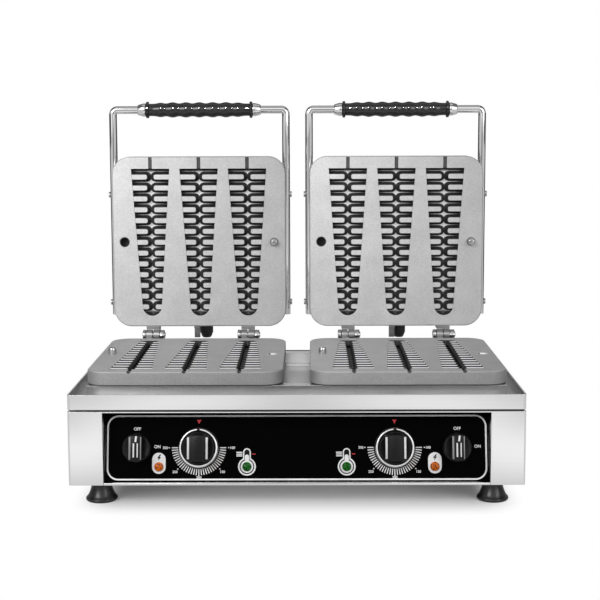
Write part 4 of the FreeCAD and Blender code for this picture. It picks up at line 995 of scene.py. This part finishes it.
def outsidePools(x, y, size):
    outside = 1.0
    for middleX, middleY in size["pools"]:
        fromX = x.by("ABSOLUTE") - middleX
        fromY = y - middleY
        outside = outside * (fromX * fromX + fromY * fromY).by("SQRT").between(*size["poolFade"])
    return outside


def floorMaterial(size):
    material = bpy.data.materials.new("studio floor")
    material.use_nodes = True
    finish = Finish(material.node_tree)
    finish.tree.nodes.remove(finish.tree.nodes["Principled BSDF"])
    x, y = finish.axes(finish.place())[:2]
    beyondX = (x.by("ABSOLUTE") - size["halfX"]).by("MAXIMUM")
    beyondY = ((y - size["middleY"]).by("ABSOLUTE") - size["halfY"]).by("MAXIMUM")
    clear = (beyondX * beyondX + beyondY * beyondY).by("SQRT")
    distance = (x * x + y * y).by("SQRT")
    heading = y.by("DIVIDE", distance + size["least"])
    behind = heading.between(*size["behind"]) * distance.between(*size["behindFar"]) * size["behindDark"]
    ahead = heading.before(*size["ahead"]) * distance.between(*size["aheadFar"]) * size["aheadDark"]
    pool = 1 - outsidePools(x, y, size) * size["poolDepth"]
    grain = finish.noise(finish.place(), *size["grain"])
    tone = finish.blend(grain, grey(size["albedo"] * size["grainDim"]), grey(size["albedo"]))
    paper = finish.node("ShaderNodeBsdfDiffuse", inputs={"Color": tone})
    camera, glossy, through = lightPaths(finish)
    shown = camera + (glossy + through) * (1 - behind) * (1 - ahead) * pool
    strength = shown.by("MINIMUM", 1.0)
    glow = finish.node("ShaderNodeEmission", inputs={"Color": grey(1.0), "Strength": strength})
    fade = size["lift"] + clear.between(*size["fade"]) * (1 - size["lift"])
    surface = finish.node("ShaderNodeMixShader", inputs={0: fade, 1: paper, 2: glow})
    finish.tree.links.new(surface.socket, finish.tree.nodes["Material Output"].inputs["Surface"])
    return material


bm = bmesh.new()
bmesh.ops.create_grid(bm, x_segments=1, y_segments=1, size=floorSize["half"])
mesh = bpy.data.meshes.new("floor")
bm.to_mesh(mesh)
bm.free()
mesh.materials.append(floorMaterial(floorSize))
floor = bpy.data.objects.new("floor", mesh)
scene.collection.objects.link(floor)

# World: white where it is seen, softer as light, with dim cards before and behind for the reflections
worldSize = {
    "light": 0.5, "dim": 0.4, "card": 0.08, "back": 0.45, "zenith": 0.15, "front": (-0.995, -0.95),
    "behind": (-0.7, -0.45), "rise": (0.03, 0.12), "height": (0.3, 0.6),
}


def makeWorld(size):
    world = bpy.data.worlds.new("studio")
    world.use_nodes = True
    scene.world = world
    finish = Finish(world.node_tree)
    finish.tree.nodes.remove(finish.tree.nodes["Background"])
    y, z = finish.axes(finish.place("Generated"))[1:]
    front = y.between(*size["front"]) * (1 - size["dim"]) + size["dim"]
    dusk = size["back"] - z.between(*size["height"]) * (size["back"] - size["zenith"])
    card = size["card"] + z.between(*size["rise"]) * (dusk - size["card"])
    behind = y.between(*size["behind"]) * (1 - card)
    camera, glossy, through = lightPaths(finish)
    shiny = (glossy + through).by("MINIMUM", 1.0)
    strength = camera + (1 - camera) * (shiny * front * (1 - behind) + (1 - shiny) * size["light"])
    back = finish.node("ShaderNodeBackground", inputs={"Color": grey(1.0), "Strength": strength})
    finish.tree.links.new(back.socket, finish.tree.nodes["World Output"].inputs["Surface"])


makeWorld(worldSize)

# Lamps: a key from the front left, a fill from the right, a weak one overhead and a small one for the grips
lamps = {
    "key": {"place": (-1.1, -1.6, 1.2), "size": (1.0, 0.9), "power": 20.0},
    "fill": {"place": (1.35, -1.35, 0.95), "size": (0.9, 1.1), "power": 10.0},
    "top": {"place": (0.0, 0.2, 1.9), "size": (1.6, 1.0), "power": 2.0},
    "spark": {"place": (-0.1, -1.45, 1.25), "size": (0.16, 0.1), "power": 34.0,
              "only": [f"{side}_grip_moulded" for side in sides]},
}
aim = Vector((0, 0, 0.2))
for name, lamp in lamps.items():
    light = bpy.data.lights.new(name, "AREA")
    light.shape = "RECTANGLE"
    light.size = lamp["size"][0]
    light.size_y = lamp["size"][1]
    light.energy = lamp["power"]
    holder = bpy.data.objects.new(name, light)
    holder.location = lamp["place"]
    holder.rotation_euler = (aim - Vector(lamp["place"])).to_track_quat("-Z", "Y").to_euler()
    scene.collection.objects.link(holder)
    if "only" in lamp:
        holder.light_linking.receiver_collection = bpy.data.collections.new(f"{name} pieces")
        for piece in lamp["only"]:
            holder.light_linking.receiver_collection.objects.link(bpy.data.objects[piece])

# Camera: about level with the grips, looking slightly down
view = {
    "place": (12.6, -1527.8, 430.7), "pitch": 6.53, "roll": -0.19, "yaw": 0.34, "lens": 76.2, "sensor": 36.0,
    "shiftY": -0.06,
}
camera = bpy.data.cameras.new("camera")
camera.lens = view["lens"]
camera.sensor_width = view["sensor"]
camera.shift_y = view["shiftY"]
cameraHolder = bpy.data.objects.new("camera", camera)
facing = turn(view["yaw"], "Z") @ turn(90 - view["pitch"], "X") @ turn(view["roll"], "Z")
cameraHolder.matrix_world = shift(*view["place"]) @ facing
scene.collection.objects.link(cameraHolder)
scene.camera = cameraHolder
print("stage, lamps and camera set")
